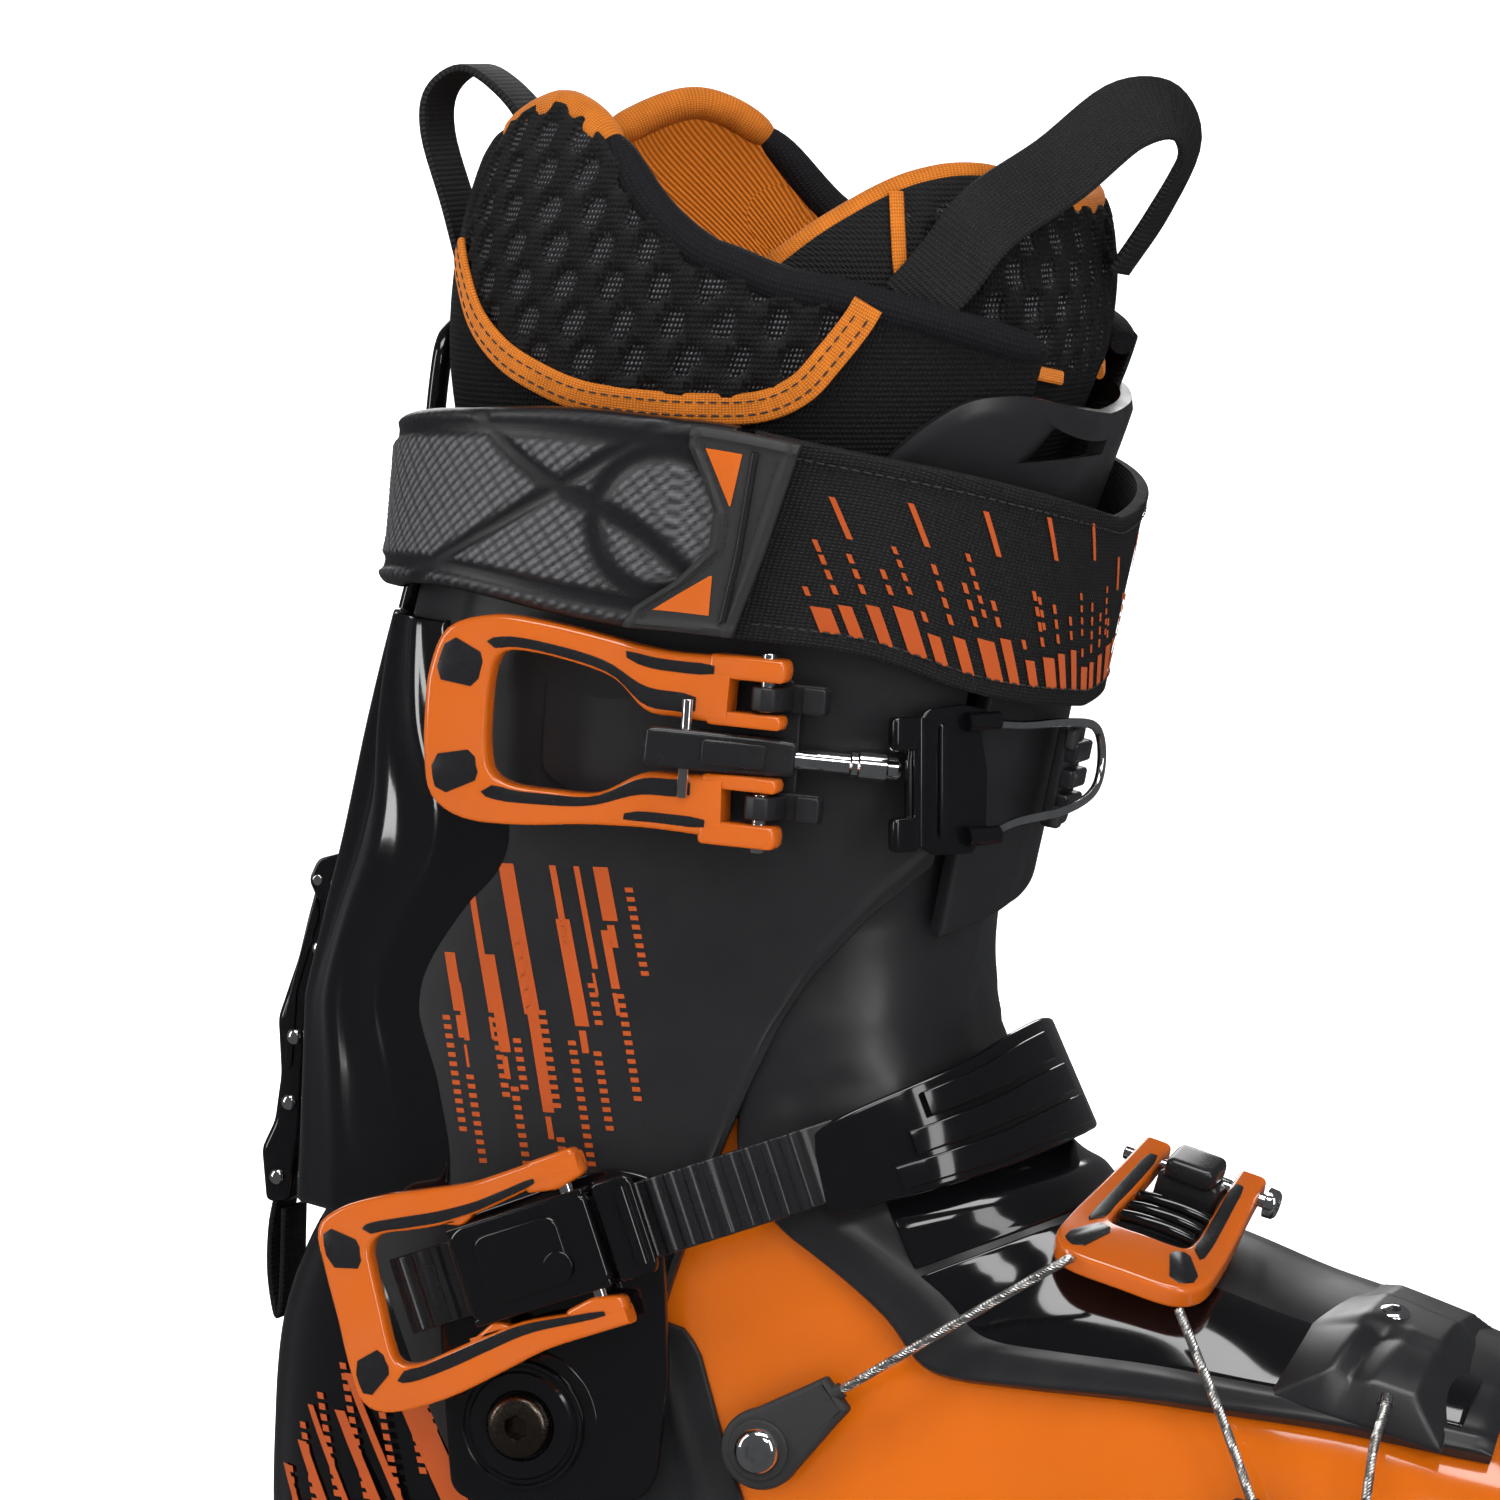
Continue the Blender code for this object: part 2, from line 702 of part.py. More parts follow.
def upper_buckle():
    """Base, lever, pins and the sleeve, rod, hook plate and wire that the lever pulls."""
    frame = upper_frame()
    for name, side in (("low", -1), ("high", 1)):
        foot = shifted(frame, 4, side * LUG_FROM_MIDDLE, -5.7)
        base = block("upper_base_" + name, (15, LUG_WIDTH + 1, 2.6), foot, "black_gloss")
        join_block(base, (6.4, LUG_WIDTH, 8.6), shifted(frame, 0, side * LUG_FROM_MIDDLE, -1.2))
        drill(base, UPPER_PIN, UPPER_UP, PIN_RADIUS + 0.15, DRILL_REACH, PIN_SIDES)
        pin_centre = local(frame, 0, side * (LUG_FROM_MIDDLE + 3.2), 0)
        rod("upper_pin_" + name, pin_centre, UPPER_UP, PIN_RADIUS, 12, "chrome", PIN_SIDES)
    lever = to_mesh(plate("upper_lever", UPPER_LEVER_OUTLINE, 6.0, frame, "orange_gloss"))
    drill(lever, UPPER_PIN, UPPER_UP, PIN_RADIUS + PIN_GAP, DRILL_REACH, PIN_SIDES)
    drill(lever, SLEEVE_PIVOT, UPPER_UP, THIN_PIN_RADIUS + 0.1, 24, PIN_SIDES)
    rod("sleeve_pin", SLEEVE_PIVOT, UPPER_UP, THIN_PIN_RADIUS, 20, "chrome", PIN_SIDES)
    direction = (ROD_END - SLEEVE_PIVOT).normalized()
    pull = axes(SLEEVE_PIVOT, direction, UPPER_UP)
    sleeve = block("upper_sleeve", (31, 8.0, 4.6), shifted(pull, 7, 0, 0), "black_gloss")
    drill(sleeve, SLEEVE_PIVOT, UPPER_UP, THIN_PIN_RADIUS + 0.15, 24, PIN_SIDES)
    drill(sleeve, local(pull, 22, 0, 0), direction, ROD_RADIUS + 0.12, 22, PIN_SIDES)
    rod("upper_rod", local(pull, 29.6, 0, 0), direction, ROD_RADIUS, 31, "chrome", PIN_SIDES)
    hook = axes((87.4, -41.6, 216.0), (12, 13.5, 0), (0, 0, 1))
    plate_part = block("hook_plate", (17, 28, 2.4), hook, "black_gloss")
    drill(plate_part, local(pull, 45, 0, 0), direction, ROD_RADIUS + 0.15, 20, PIN_SIDES)
    bail = flow([local(hook, 10.0, 11, 0.3), (98.0, -25, 226.0), (103.5, -10, 225.4), (105.6, 2, 223.5),
                 (105.8, 6, 217), (105.2, 2, 210.5), (102.6, -10, 207.5), (96.8, -25, 206.4),
                 local(hook, 10.0, -11, 0.3)], 3)
    wire("wire_bail", bail, 0.9, "chrome", 1)
    catch = block("catch_block", (22, 14, 2.4), axes((98.4, 1.0, 215), CATCH_LEAN, (0, 1, 0)), "black_matte")
    join_block(catch, (9, 12, 4.4), axes((100.0, 1.0, 217), CATCH_LEAN, (0, 1, 0)))


# ---------------------------------------------------------------- ankle buckle


ANKLE_TILT = math.radians(19.0)
ANKLE_PIVOT = Vector((2.0, -59.8, 117.0))
ANKLE_ALONG = Vector((math.cos(ANKLE_TILT), 0.0, math.sin(ANKLE_TILT)))
ANKLE_UP = Vector((-math.sin(ANKLE_TILT), 0.0, math.cos(ANKLE_TILT)))
BASE_INNER_Y = 50.2
BASE_PLATE = 2.8
LEVER_PIN_REACH = 14.0
PAWL_REACH = 19.5
ANKLE_LEVER_OUTLINE = ((-39.5, 17.4), (-37, 21), (-23, 21), (-4, 18), (3, 18), (12, 18.4), (19.2, 17.4),
                       (19.2, 13.5), (10, 14.3), (-3, 11.8), (-12, 11.6), (-28, 14), (-31.6, -13.7),
                       (-20, -13.1), (-5, -11.8), (19.2, -15.2), (19.2, -18.9), (1, -18.8), (-24, -22.3),
                       (-38, -21.5), (-41.7, -16.7))
ANKLE_BASE_OUTLINE = ((-16, 66), (28, 66), (31, 92), (29, 136), (18, 136), (-14, 124), (-19, 100))
LADDER_HALF = 8.0
LADDER_Y = 55.1
LADDER_WALL = 2.6


def ankle_frame():
    """The frame of the closed ankle lever: along the ladder, across it and outwards."""
    return axes(ANKLE_PIVOT, ANKLE_ALONG, ANKLE_UP)


def strip(name, centres, ups, half_width, wall, look):
    """A flat band along a path. ups gives the band's width direction at each place."""
    rows = []
    for i, centre in enumerate(centres):
        before = centres[max(i - 1, 0)]
        after = centres[min(i + 1, len(centres) - 1)]
        along = (Vector(after) - Vector(before)).normalized()
        up = Vector(ups[i]).normalized()
        normal = along.cross(up).normalized() * (wall / 2)
        half = up * (half_width[i] if isinstance(half_width, (list, tuple)) else half_width)
        outer, inner = Vector(centre) + normal, Vector(centre) - normal
        rows.append([outer - half, outer + half, inner + half, inner - half])
    return loft(name, rows, look, closed=True, caps=True)


def ankle_buckle():
    """Base plate, ratchet housing, lever, pawl, ladder and strap."""
    frame = ankle_frame()
    side_frame = axes((0, -BASE_INNER_Y - BASE_PLATE / 2, 0), (1, 0, 0), (0, 0, 1))
    base = to_mesh(plate("ankle_base", ANKLE_BASE_OUTLINE, BASE_PLATE, side_frame, "black_gloss"))
    drill(base, (0, -BASE_INNER_Y, PIVOT_Z), (0, 1, 0), PIVOT_BOLT_RADIUS + 0.1, 16, 20)
    pin_centre = local(frame, LEVER_PIN_REACH, 0, 0)
    housing = block("ratchet_housing", (32, 21, 9.0), shifted(frame, 2.5, 0, -1.6), "black_gloss")
    cut_block(housing, (60, LADDER_HALF * 2 + 1.0, 5.0), shifted(frame, 2.5, 0, -5.2))
    drill(housing, pin_centre, ANKLE_UP, PIN_RADIUS + 0.1, DRILL_REACH, PIN_SIDES)
    rod("ankle_lever_pin", pin_centre, ANKLE_UP, PIN_RADIUS, 35, "chrome", PIN_SIDES)
    lever = to_mesh(plate("ankle_lever", ANKLE_LEVER_OUTLINE, 5.6, frame, "orange_gloss"))
    drill(lever, pin_centre, ANKLE_UP, PIN_RADIUS + PIN_GAP, DRILL_REACH, PIN_SIDES)
    block("ratchet_pawl", (9.0, 21, 2.6), shifted(frame, 24.0, 0, 0.6), "black_gloss")
    ladder_depth = frame.translation.y / MM + LADDER_Y
    ladder_path = [local(frame, place, 0, ladder_depth) for place in (-29, -12, 8, 26, 38, 50, 60)]
    inward = (0, 0, 0, 0, 0.4, 2.2, 5.0)
    ladder_path = [v + Vector((0, d, 0)) for v, d in zip(ladder_path, inward)]
    strip("ankle_ladder", ladder_path, [ANKLE_UP] * len(ladder_path), LADDER_HALF, LADDER_WALL, "black_matte")
    ankle_strap()


def ankle_strap():
    """The strap over the instep, from the ladder to the eye on the inner pivot."""
    lateral = [(63.5, -47.0, 136), (72, -45, 139.5), (83, -38.5, 143.5), (92, -27, 147), (97, -13, 150)]
    medial = [(97, 13, 150), (92, 27, 147), (83, 38.5, 143.5), (72, 46, 138), (60, 51, 131), (45, 52.2, 121),
              (28, 52.2, 108), (12, 52.2, 94), (-6, 52.2, 76)]
    centres = lateral + [(98.5, 0, 151)] + medial
    ups = []
    for i in range(len(centres)):
        before = Vector(centres[max(i - 1, 0)])
        after = Vector(centres[min(i + 1, len(centres) - 1)])
        along = (after - before).normalized()
        outward = Vector((centres[i][0] - 20, centres[i][1] * 2.0, 0.45 * (centres[i][0] - 20)))
        if i > len(centres) - 6:
            outward = Vector((0, 1, 0))
        ups.append(outward.cross(along).normalized())
    widths = [9, 10, 11, 11.5, 12, 12, 12, 11.5, 11, 10, 9, 9, 9, 9, 9]
    strap = strip("ankle_strap", centres, ups, widths, 2.8, "black_gloss")
    drill(strap, (0, 52, PIVOT_Z), (0, 1, 0), PIVOT_BOLT_RADIUS + 0.1, 16, 20)
    return strap


MEDIAL_SEAT = 54.0
WASHER_RADIUS = 13.4
WASHER_WALL = 1.8
BOLT_HEAD_HEIGHT = 2.6
BOLT_END_Y = 41.5


def cuff_pivots():
    """The bolts on which the cuff turns, with their washers."""
    for name, side in (("lateral", -1), ("medial", 1)):
        seat = BASE_INNER_Y + BASE_PLATE + GAP if side < 0 else MEDIAL_SEAT
        direction = (0, side, 0)
        middle = (0, side * (seat + WASHER_WALL / 2), PIVOT_Z)
        washer = rod("pivot_washer_" + name, middle, direction, WASHER_RADIUS, WASHER_WALL, "black_gloss", 28)
        drill(washer, (0, side * seat, PIVOT_Z), direction, PIVOT_BOLT_RADIUS + 0.1, 20, 20)
        head = seat + WASHER_WALL + GAP
        top = head + BOLT_HEAD_HEIGHT
        profile = [(0, top), (5.4, top), (6.7, top - 1.0), (6.7, head), (PIVOT_BOLT_RADIUS, head),
                   (PIVOT_BOLT_RADIUS, BOLT_END_Y), (0, BOLT_END_Y)]
        bolt = turned("pivot_bolt_" + name, profile, (0, 0, PIVOT_Z), direction, "steel")
        cut(bolt, rod("hex_" + name, (0, side * top, PIVOT_Z), direction, 2.4, 4.0, "steel", 6, CUTTERS))


# ---------------------------------------------------------------- instep buckle and cables


RIDGE_TILT = math.radians(17.0)
INSTEP_PIVOT = Vector((128.0, 0.0, 131.5))
INSTEP_ALONG = Vector((math.cos(RIDGE_TILT), 0.0, -math.sin(RIDGE_TILT)))
INSTEP_DOWN = (0, -math.cos(math.radians(23)), -math.sin(math.radians(23)))
INSTEP_OUTLINE = ((-14, -4), (-16.5, 38), (-13, 46), (13, 46), (16.5, 38), (14, -4), (7.4, -4), (8.5, 30),
                  (-8.5, 30), (-7.4, -4))
CABLE_RADIUS = 1.0


def instep_frame():
    """The frame of the closed instep lever: along the ridge, towards the handle and off the boot."""
    return axes(INSTEP_PIVOT, INSTEP_ALONG, INSTEP_DOWN)


def instep_buckle():
    """The cable buckle on the tongue."""
    frame = instep_frame()
    seat = axes((127.3, 0, 128.6), INSTEP_ALONG, (0, 1, 0))
    bracket = block("instep_base", (13.6, 15, 7.5), seat, "black_gloss")
    drill(bracket, INSTEP_PIVOT, INSTEP_ALONG, PIN_RADIUS + 0.1, DRILL_REACH, PIN_SIDES)
    rod("instep_pin", INSTEP_PIVOT, INSTEP_ALONG, PIN_RADIUS, 32, "chrome", PIN_SIDES)
    lever = to_mesh(plate("instep_lever", INSTEP_OUTLINE, 5.0, frame, "orange_gloss"))
    drill(lever, INSTEP_PIVOT, INSTEP_ALONG, PIN_RADIUS + PIN_GAP, DRILL_REACH, PIN_SIDES)


ANCHOR_RADIUS = 7.5
ANCHOR_WALL = 4.8
SCREW_RADIUS = 2.5


def anchor(name, screw_at, nose, face_y):
    """A teardrop cable anchor on the shell's side, with its screw."""
    centre = Vector((screw_at[0], 0, screw_at[1]))
    tip = Vector((nose[0], 0, nose[1]))
    reach = (tip - centre).length
    along = (tip - centre).normalized()
    turns = [math.radians(a) for a in range(60, 301, 24)]
    outline = [(ANCHOR_RADIUS * math.cos(a), ANCHOR_RADIUS * math.sin(a)) for a in turns]
    outline += [(reach, -3.0), (reach, 3.0)]
    middle = (centre.x, -face_y - ANCHOR_WALL / 2 - 0.2, centre.z)
    frame = axes(middle, along, along.cross(Vector((0, -1, 0))) * -1.0)
    part = to_mesh(plate(name, outline, ANCHOR_WALL, frame, "black_matte"))
    drill(part, (centre.x, -face_y, centre.z), (0, 1, 0), SCREW_RADIUS + 0.1, 20, PIN_SIDES)
    head = face_y + ANCHOR_WALL + 0.6
    profile = [(0, head + 3.0), (3.0, head + 2.5), (4.9, head), (SCREW_RADIUS, head),
               (SCREW_RADIUS, face_y + 0.2), (0, face_y + 0.2)]
    turned(name + "_screw", profile, (centre.x, 0, centre.z), (0, -1, 0), "chrome", PIN_SIDES)


def cables():
    """Three anchors on the shell, the tongue's guide and the steel cables between them."""
    anchor("cable_anchor_rear", (50, 79), (66, 91), 46.6)
    anchor("cable_anchor_front", (152, 62), (154.5, 74), 52.2)
    anchor("cable_anchor_low", (172, 46), (174.6, 58), 52.0)
    guide_seat = axes((181, -17, 108.6), INSTEP_ALONG, (0, 0.86, 0.42))
    block("cable_guide", (15, 46, 5.0), guide_seat, "black_matte")
    routes = {
        "cable_rear": [(67.2, -49.6, 92), (89, -48.4, 105.4), (110.5, -46.2, 118.5)],
        "cable_mid": [(139, -47, 106.5), (147, -50.2, 90), (154, -54.6, 75)],
        "cable_front": flow([(178.5, -44.5, 92), (178, -50.5, 86), (177.4, -54, 76), (175.3, -54.6, 59)], 3),
    }
    for name, route in routes.items():
        wire(name, route, CABLE_RADIUS, "steel")


# ---------------------------------------------------------------- walk lever


WALK_PIVOT = Vector((-60.4, 0.0, 188.0))
WALK_OUTLINE = ((-58.2, 190), (-62.4, 191), (-66.5, 171), (-71.5, 158), (-70.8, 146), (-72.5, 134),
                (-75.5, 130), (-74.5, 119), (-69, 119), (-66.2, 133), (-65.4, 147), (-63.9, 164))
LOCK_X = -57.5
PIN_Z = 129.6
LOCK_PIN_RADIUS = 2.5
LEVER_WIDTH = 15.0


def walk_lever():
    """The ski and walk lever down the spine, its pull tab, and the lock pin that it lifts."""
    frame = axes((0, 0, 0), (1, 0, 0), (0, 0, 1))
    across = (0, 1, 0)
    lever = to_mesh(plate("walk_lever", WALK_OUTLINE, LEVER_WIDTH, frame, "black_gloss"))
    drill(lever, WALK_PIVOT, across, THIN_PIN_RADIUS + 0.1, LEVER_WIDTH * 2, PIN_SIDES)
    rod("walk_pin", WALK_PIVOT, across, THIN_PIN_RADIUS, 24, "chrome", PIN_SIDES)
    block("walk_pull_tab", (2.4, 13, 25), axes((-73.4, 0, 106), (1, 0, 0.08), across), "black_fabric")
    housing = block("lock_housing", (8.6, 14, 17), axes((LOCK_X, 0, 136), (1, 0, 0), across), "black_matte")
    drill(housing, (LOCK_X, 0, 134), (0, 0, 1), LOCK_PIN_RADIUS + 0.2, 17)
    rod("lock_pin", (LOCK_X, 0, PIN_Z), (0, 0, 1), LOCK_PIN_RADIUS, 12, "steel")


# ---------------------------------------------------------------- the boot


def hang(name, point, members):
    """Parent the pieces that move together to an empty on their joint's axis, without moving them."""
    axis = bpy.data.objects.new(name, None)
    PARTS.objects.link(axis)
    axis.location = Vector(point) * MM
    bpy.context.view_layer.update()
    for member in members:
        part = bpy.data.objects[member]
        part.parent = axis
        part.matrix_parent_inverse = axis.matrix_world.inverted()


CUFF_PIECES = ("cuff_shell", "rear_spine", "rear_loop", "upper_tongue", "liner_collar", "liner_tongue",
               "pull_loop_rear", "pull_loop_front", "strap_pad", "strap_band", "finger_tab", "upper_base_low",
               "upper_base_high", "upper_pin_low", "upper_pin_high", "catch_block", "walk_pin",
               "lock_housing")


def moving_groups():
    """Hang each moving group on its joint's axis."""
    hang("cuff_axis", (0, 0, PIVOT_Z), CUFF_PIECES)
    hang("upper_lever_axis", UPPER_PIN, ("upper_lever", "sleeve_pin"))
    hang("upper_bail_axis", SLEEVE_PIVOT, ("upper_sleeve", "upper_rod", "hook_plate", "wire_bail"))
    hang("ankle_lever_axis", local(ankle_frame(), LEVER_PIN_REACH, 0, 0), ("ankle_lever",))
    hang("ratchet_pawl_axis", local(ankle_frame(), PAWL_REACH, 0, 0), ("ratchet_pawl",))
    hang("instep_lever_axis", INSTEP_PIVOT, ("instep_lever",))
    hang("walk_lever_axis", WALK_PIVOT, ("walk_lever", "walk_pull_tab"))
    hang("lock_pin_axis", (LOCK_X, 0, PIN_Z), ("lock_pin",))


def main():
    start_scene()
    lower_shell()
    sole()
    lower_tongue()
    liner_foot()
    cuff_shell()
    rear_spine()
    rear_loop()
    upper_tongue()
    liner_collar()
    liner_tongue()
    pull_loops()
    power_strap()
    upper_buckle()
    ankle_buckle()
    cuff_pivots()
    instep_buckle()
    cables()
    walk_lever()
    moving_groups()


main()
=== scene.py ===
"""The looks of the alpine touring boot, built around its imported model.

The frame is +X towards the toe, +Y towards the inner side of the leg and +Z up. Sizes are in millimetres
and become metres where a mesh is made. Angles round the leg are 0 at the front, 90 on the outer side and
180 at the rear. Angles round the foot are 0 on the instep ridge, 90 on the outer side and 180 on the sole
or heel.
"""

import json
import math

import bmesh
import bpy
import numpy as np
from mathutils import Matrix, Vector
from mathutils.bvhtree import BVHTree


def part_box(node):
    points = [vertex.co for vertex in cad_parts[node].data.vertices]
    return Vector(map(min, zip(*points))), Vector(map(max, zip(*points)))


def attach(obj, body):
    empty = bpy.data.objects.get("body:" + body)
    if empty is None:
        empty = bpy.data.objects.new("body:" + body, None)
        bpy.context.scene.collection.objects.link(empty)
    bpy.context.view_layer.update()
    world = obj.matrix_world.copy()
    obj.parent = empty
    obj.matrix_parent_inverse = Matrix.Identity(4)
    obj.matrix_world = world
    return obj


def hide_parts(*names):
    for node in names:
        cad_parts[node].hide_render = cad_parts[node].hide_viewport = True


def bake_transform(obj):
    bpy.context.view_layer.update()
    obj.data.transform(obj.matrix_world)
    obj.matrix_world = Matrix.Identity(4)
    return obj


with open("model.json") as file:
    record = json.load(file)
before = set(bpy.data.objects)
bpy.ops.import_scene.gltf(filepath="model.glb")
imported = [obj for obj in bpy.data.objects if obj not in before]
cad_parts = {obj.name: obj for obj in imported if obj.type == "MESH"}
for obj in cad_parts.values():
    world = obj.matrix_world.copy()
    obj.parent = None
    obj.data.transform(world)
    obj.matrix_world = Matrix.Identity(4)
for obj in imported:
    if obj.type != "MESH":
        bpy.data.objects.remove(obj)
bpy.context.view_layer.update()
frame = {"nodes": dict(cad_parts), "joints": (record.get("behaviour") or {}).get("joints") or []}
MM = 0.001
JOINTS = {joint["name"]: joint for joint in frame["joints"]}


def joint_at(name):
    """A joint's place in millimetres."""
    return Vector(JOINTS[name]["pos_m"]) / MM


def node_box(name):
    """A CAD node's lowest and highest corners in millimetres."""
    low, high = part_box(name)
    return Vector(low) / MM, Vector(high) / MM


# ---------------------------------------------------------------- the boot's surfaces


PIVOT_Z = joint_at("cuff_pivot").z
SOLE_Z = 20.0
SQUARENESS = 2.6
LEG_LEVEL = 165.0
LEG_TOP_LEVEL = 262.0
LEG_FRONT_X = 84.0
LEG_REAR_X = -60.0
LEG_HALF_WIDTH = 49.0
FRONT_LEAN = 0.22
REAR_LEAN = 0.27
ANKLE_LEAN = 0.07
REAR_TOP_LEAN = 0.10
WIDTH_FLARE = 0.075

# The foot's slanted sections: top x, top z, bottom x, bottom z and half width.
STATIONS = np.array((
    (79, 160, -20, 150, 41),
    (84, 149, -38, 138, 41.5),
    (90, 140, -51, 126, 42.5),
    (97, 133, -61, 110, 43.5),
    (102, 129, -66.5, 93, 44.5),
    (106, 126.5, -68.5, 66, 45),
    (111, 124, -68, 40, 45),
    (116, 122, -64, 14, 45),
    (121, 119.5, -44, 4, 45.5),
    (128, 116.5, 0, 4, 46),
    (138, 112.5, 60, 4, 47),
    (152, 107, 110, 4, 49),
    (170, 101.5, 150, 4, 51),
    (190, 94.5, 182, 4, 50),
    (206, 88, 205, 4, 46),
    (220, 79, 220, 8, 38),
    (230, 68, 230, 16, 26),
    (234, 56, 234, 28, 13),
), float)


def smooth_between(knots, value):
    """The value at a place on a smooth curve through (place, value) knots, flat at its ends."""
    places = np.array([k[0] for k in knots], float)
    values = np.array([k[1] for k in knots], float)
    slopes = np.gradient(values, places)
    value = np.clip(np.asarray(value, float), places[0], places[-1])
    i = np.clip(np.searchsorted(places, value, side="right") - 1, 0, len(places) - 2)
    width = places[i + 1] - places[i]
    t = (value - places[i]) / width
    return ((2 * t ** 3 - 3 * t ** 2 + 1) * values[i] + (t ** 3 - 2 * t ** 2 + t) * width * slopes[i]
            + (3 * t ** 2 - 2 * t ** 3) * values[i + 1] + (t ** 3 - t ** 2) * width * slopes[i + 1])


def between(knots, value):
    """The value at a place on the broken line through (place, value) knots."""
    return np.interp(value, [k[0] for k in knots], [k[1] for k in knots])


def rounded(cosine):
    """The superellipse coordinate for a cosine or sine."""
    return np.sign(cosine) * np.abs(cosine) ** (2.0 / SQUARENESS)


def leg_span(z):
    """Front x, rear x and half width of the leg at a height."""
    low = np.minimum(z, LEG_LEVEL) - LEG_LEVEL
    high = np.maximum(z, LEG_LEVEL) - LEG_LEVEL
    rear_high = np.clip(z, LEG_LEVEL, LEG_TOP_LEVEL) - LEG_LEVEL
    above = np.maximum(z - LEG_TOP_LEVEL, 0.0)
    front = LEG_FRONT_X + ANKLE_LEAN * low + FRONT_LEAN * high
    rear = LEG_REAR_X + ANKLE_LEAN * low + REAR_LEAN * rear_high + REAR_TOP_LEAN * above
    return front, rear, LEG_HALF_WIDTH + WIDTH_FLARE * high


def leg(z, degrees, offset=0.0):
    """Points on the leg at heights and angles, stood off by offset."""
    z, degrees, offset = np.broadcast_arrays(np.asarray(z, float), degrees, offset)
    front, rear, half_width = leg_span(z)
    turn = np.radians(degrees)
    x = (front + rear) / 2 + ((front - rear) / 2 + offset) * rounded(np.cos(turn))
    y = -(half_width + offset) * rounded(np.sin(turn))
    return np.stack((x, y, z), axis=-1)


def leg_angle(x, z, offset=0.0):
    """The angle, 0 to 180, at which the leg's side, stood off by offset, passes x at height z."""
    front, rear, _ = leg_span(z)
    along = np.clip((x - (front + rear) / 2) / ((front - rear) / 2 + offset), -1.0, 1.0)
    return np.degrees(np.arccos(np.sign(along) * np.abs(along) ** (SQUARENESS / 2.0)))


def foot(place, degrees, offset=0.0, floor=None):
    """Points on the foot at places along its stations and angles, stood off by offset."""
    place, degrees, offset = np.broadcast_arrays(np.asarray(place, float), degrees, offset)
    index = range(len(STATIONS))
    top_x, top_z, low_x, low_z, half_width = (smooth_between(list(zip(index, c)), place) for c in STATIONS.T)
    reach_x, reach_z = (top_x - low_x) / 2, (top_z - low_z) / 2
    length = np.hypot(reach_x, reach_z)
    turn = np.radians(degrees)
    scale = (length + offset) / length * rounded(np.cos(turn))
    x = (top_x + low_x) / 2 + reach_x * scale
    z = (top_z + low_z) / 2 + reach_z * scale
    y = -(half_width + offset) * rounded(np.sin(turn))
    return np.stack((x, y, np.maximum(z, SOLE_Z - offset if floor is None else floor)), axis=-1)


# ---------------------------------------------------------------- materials


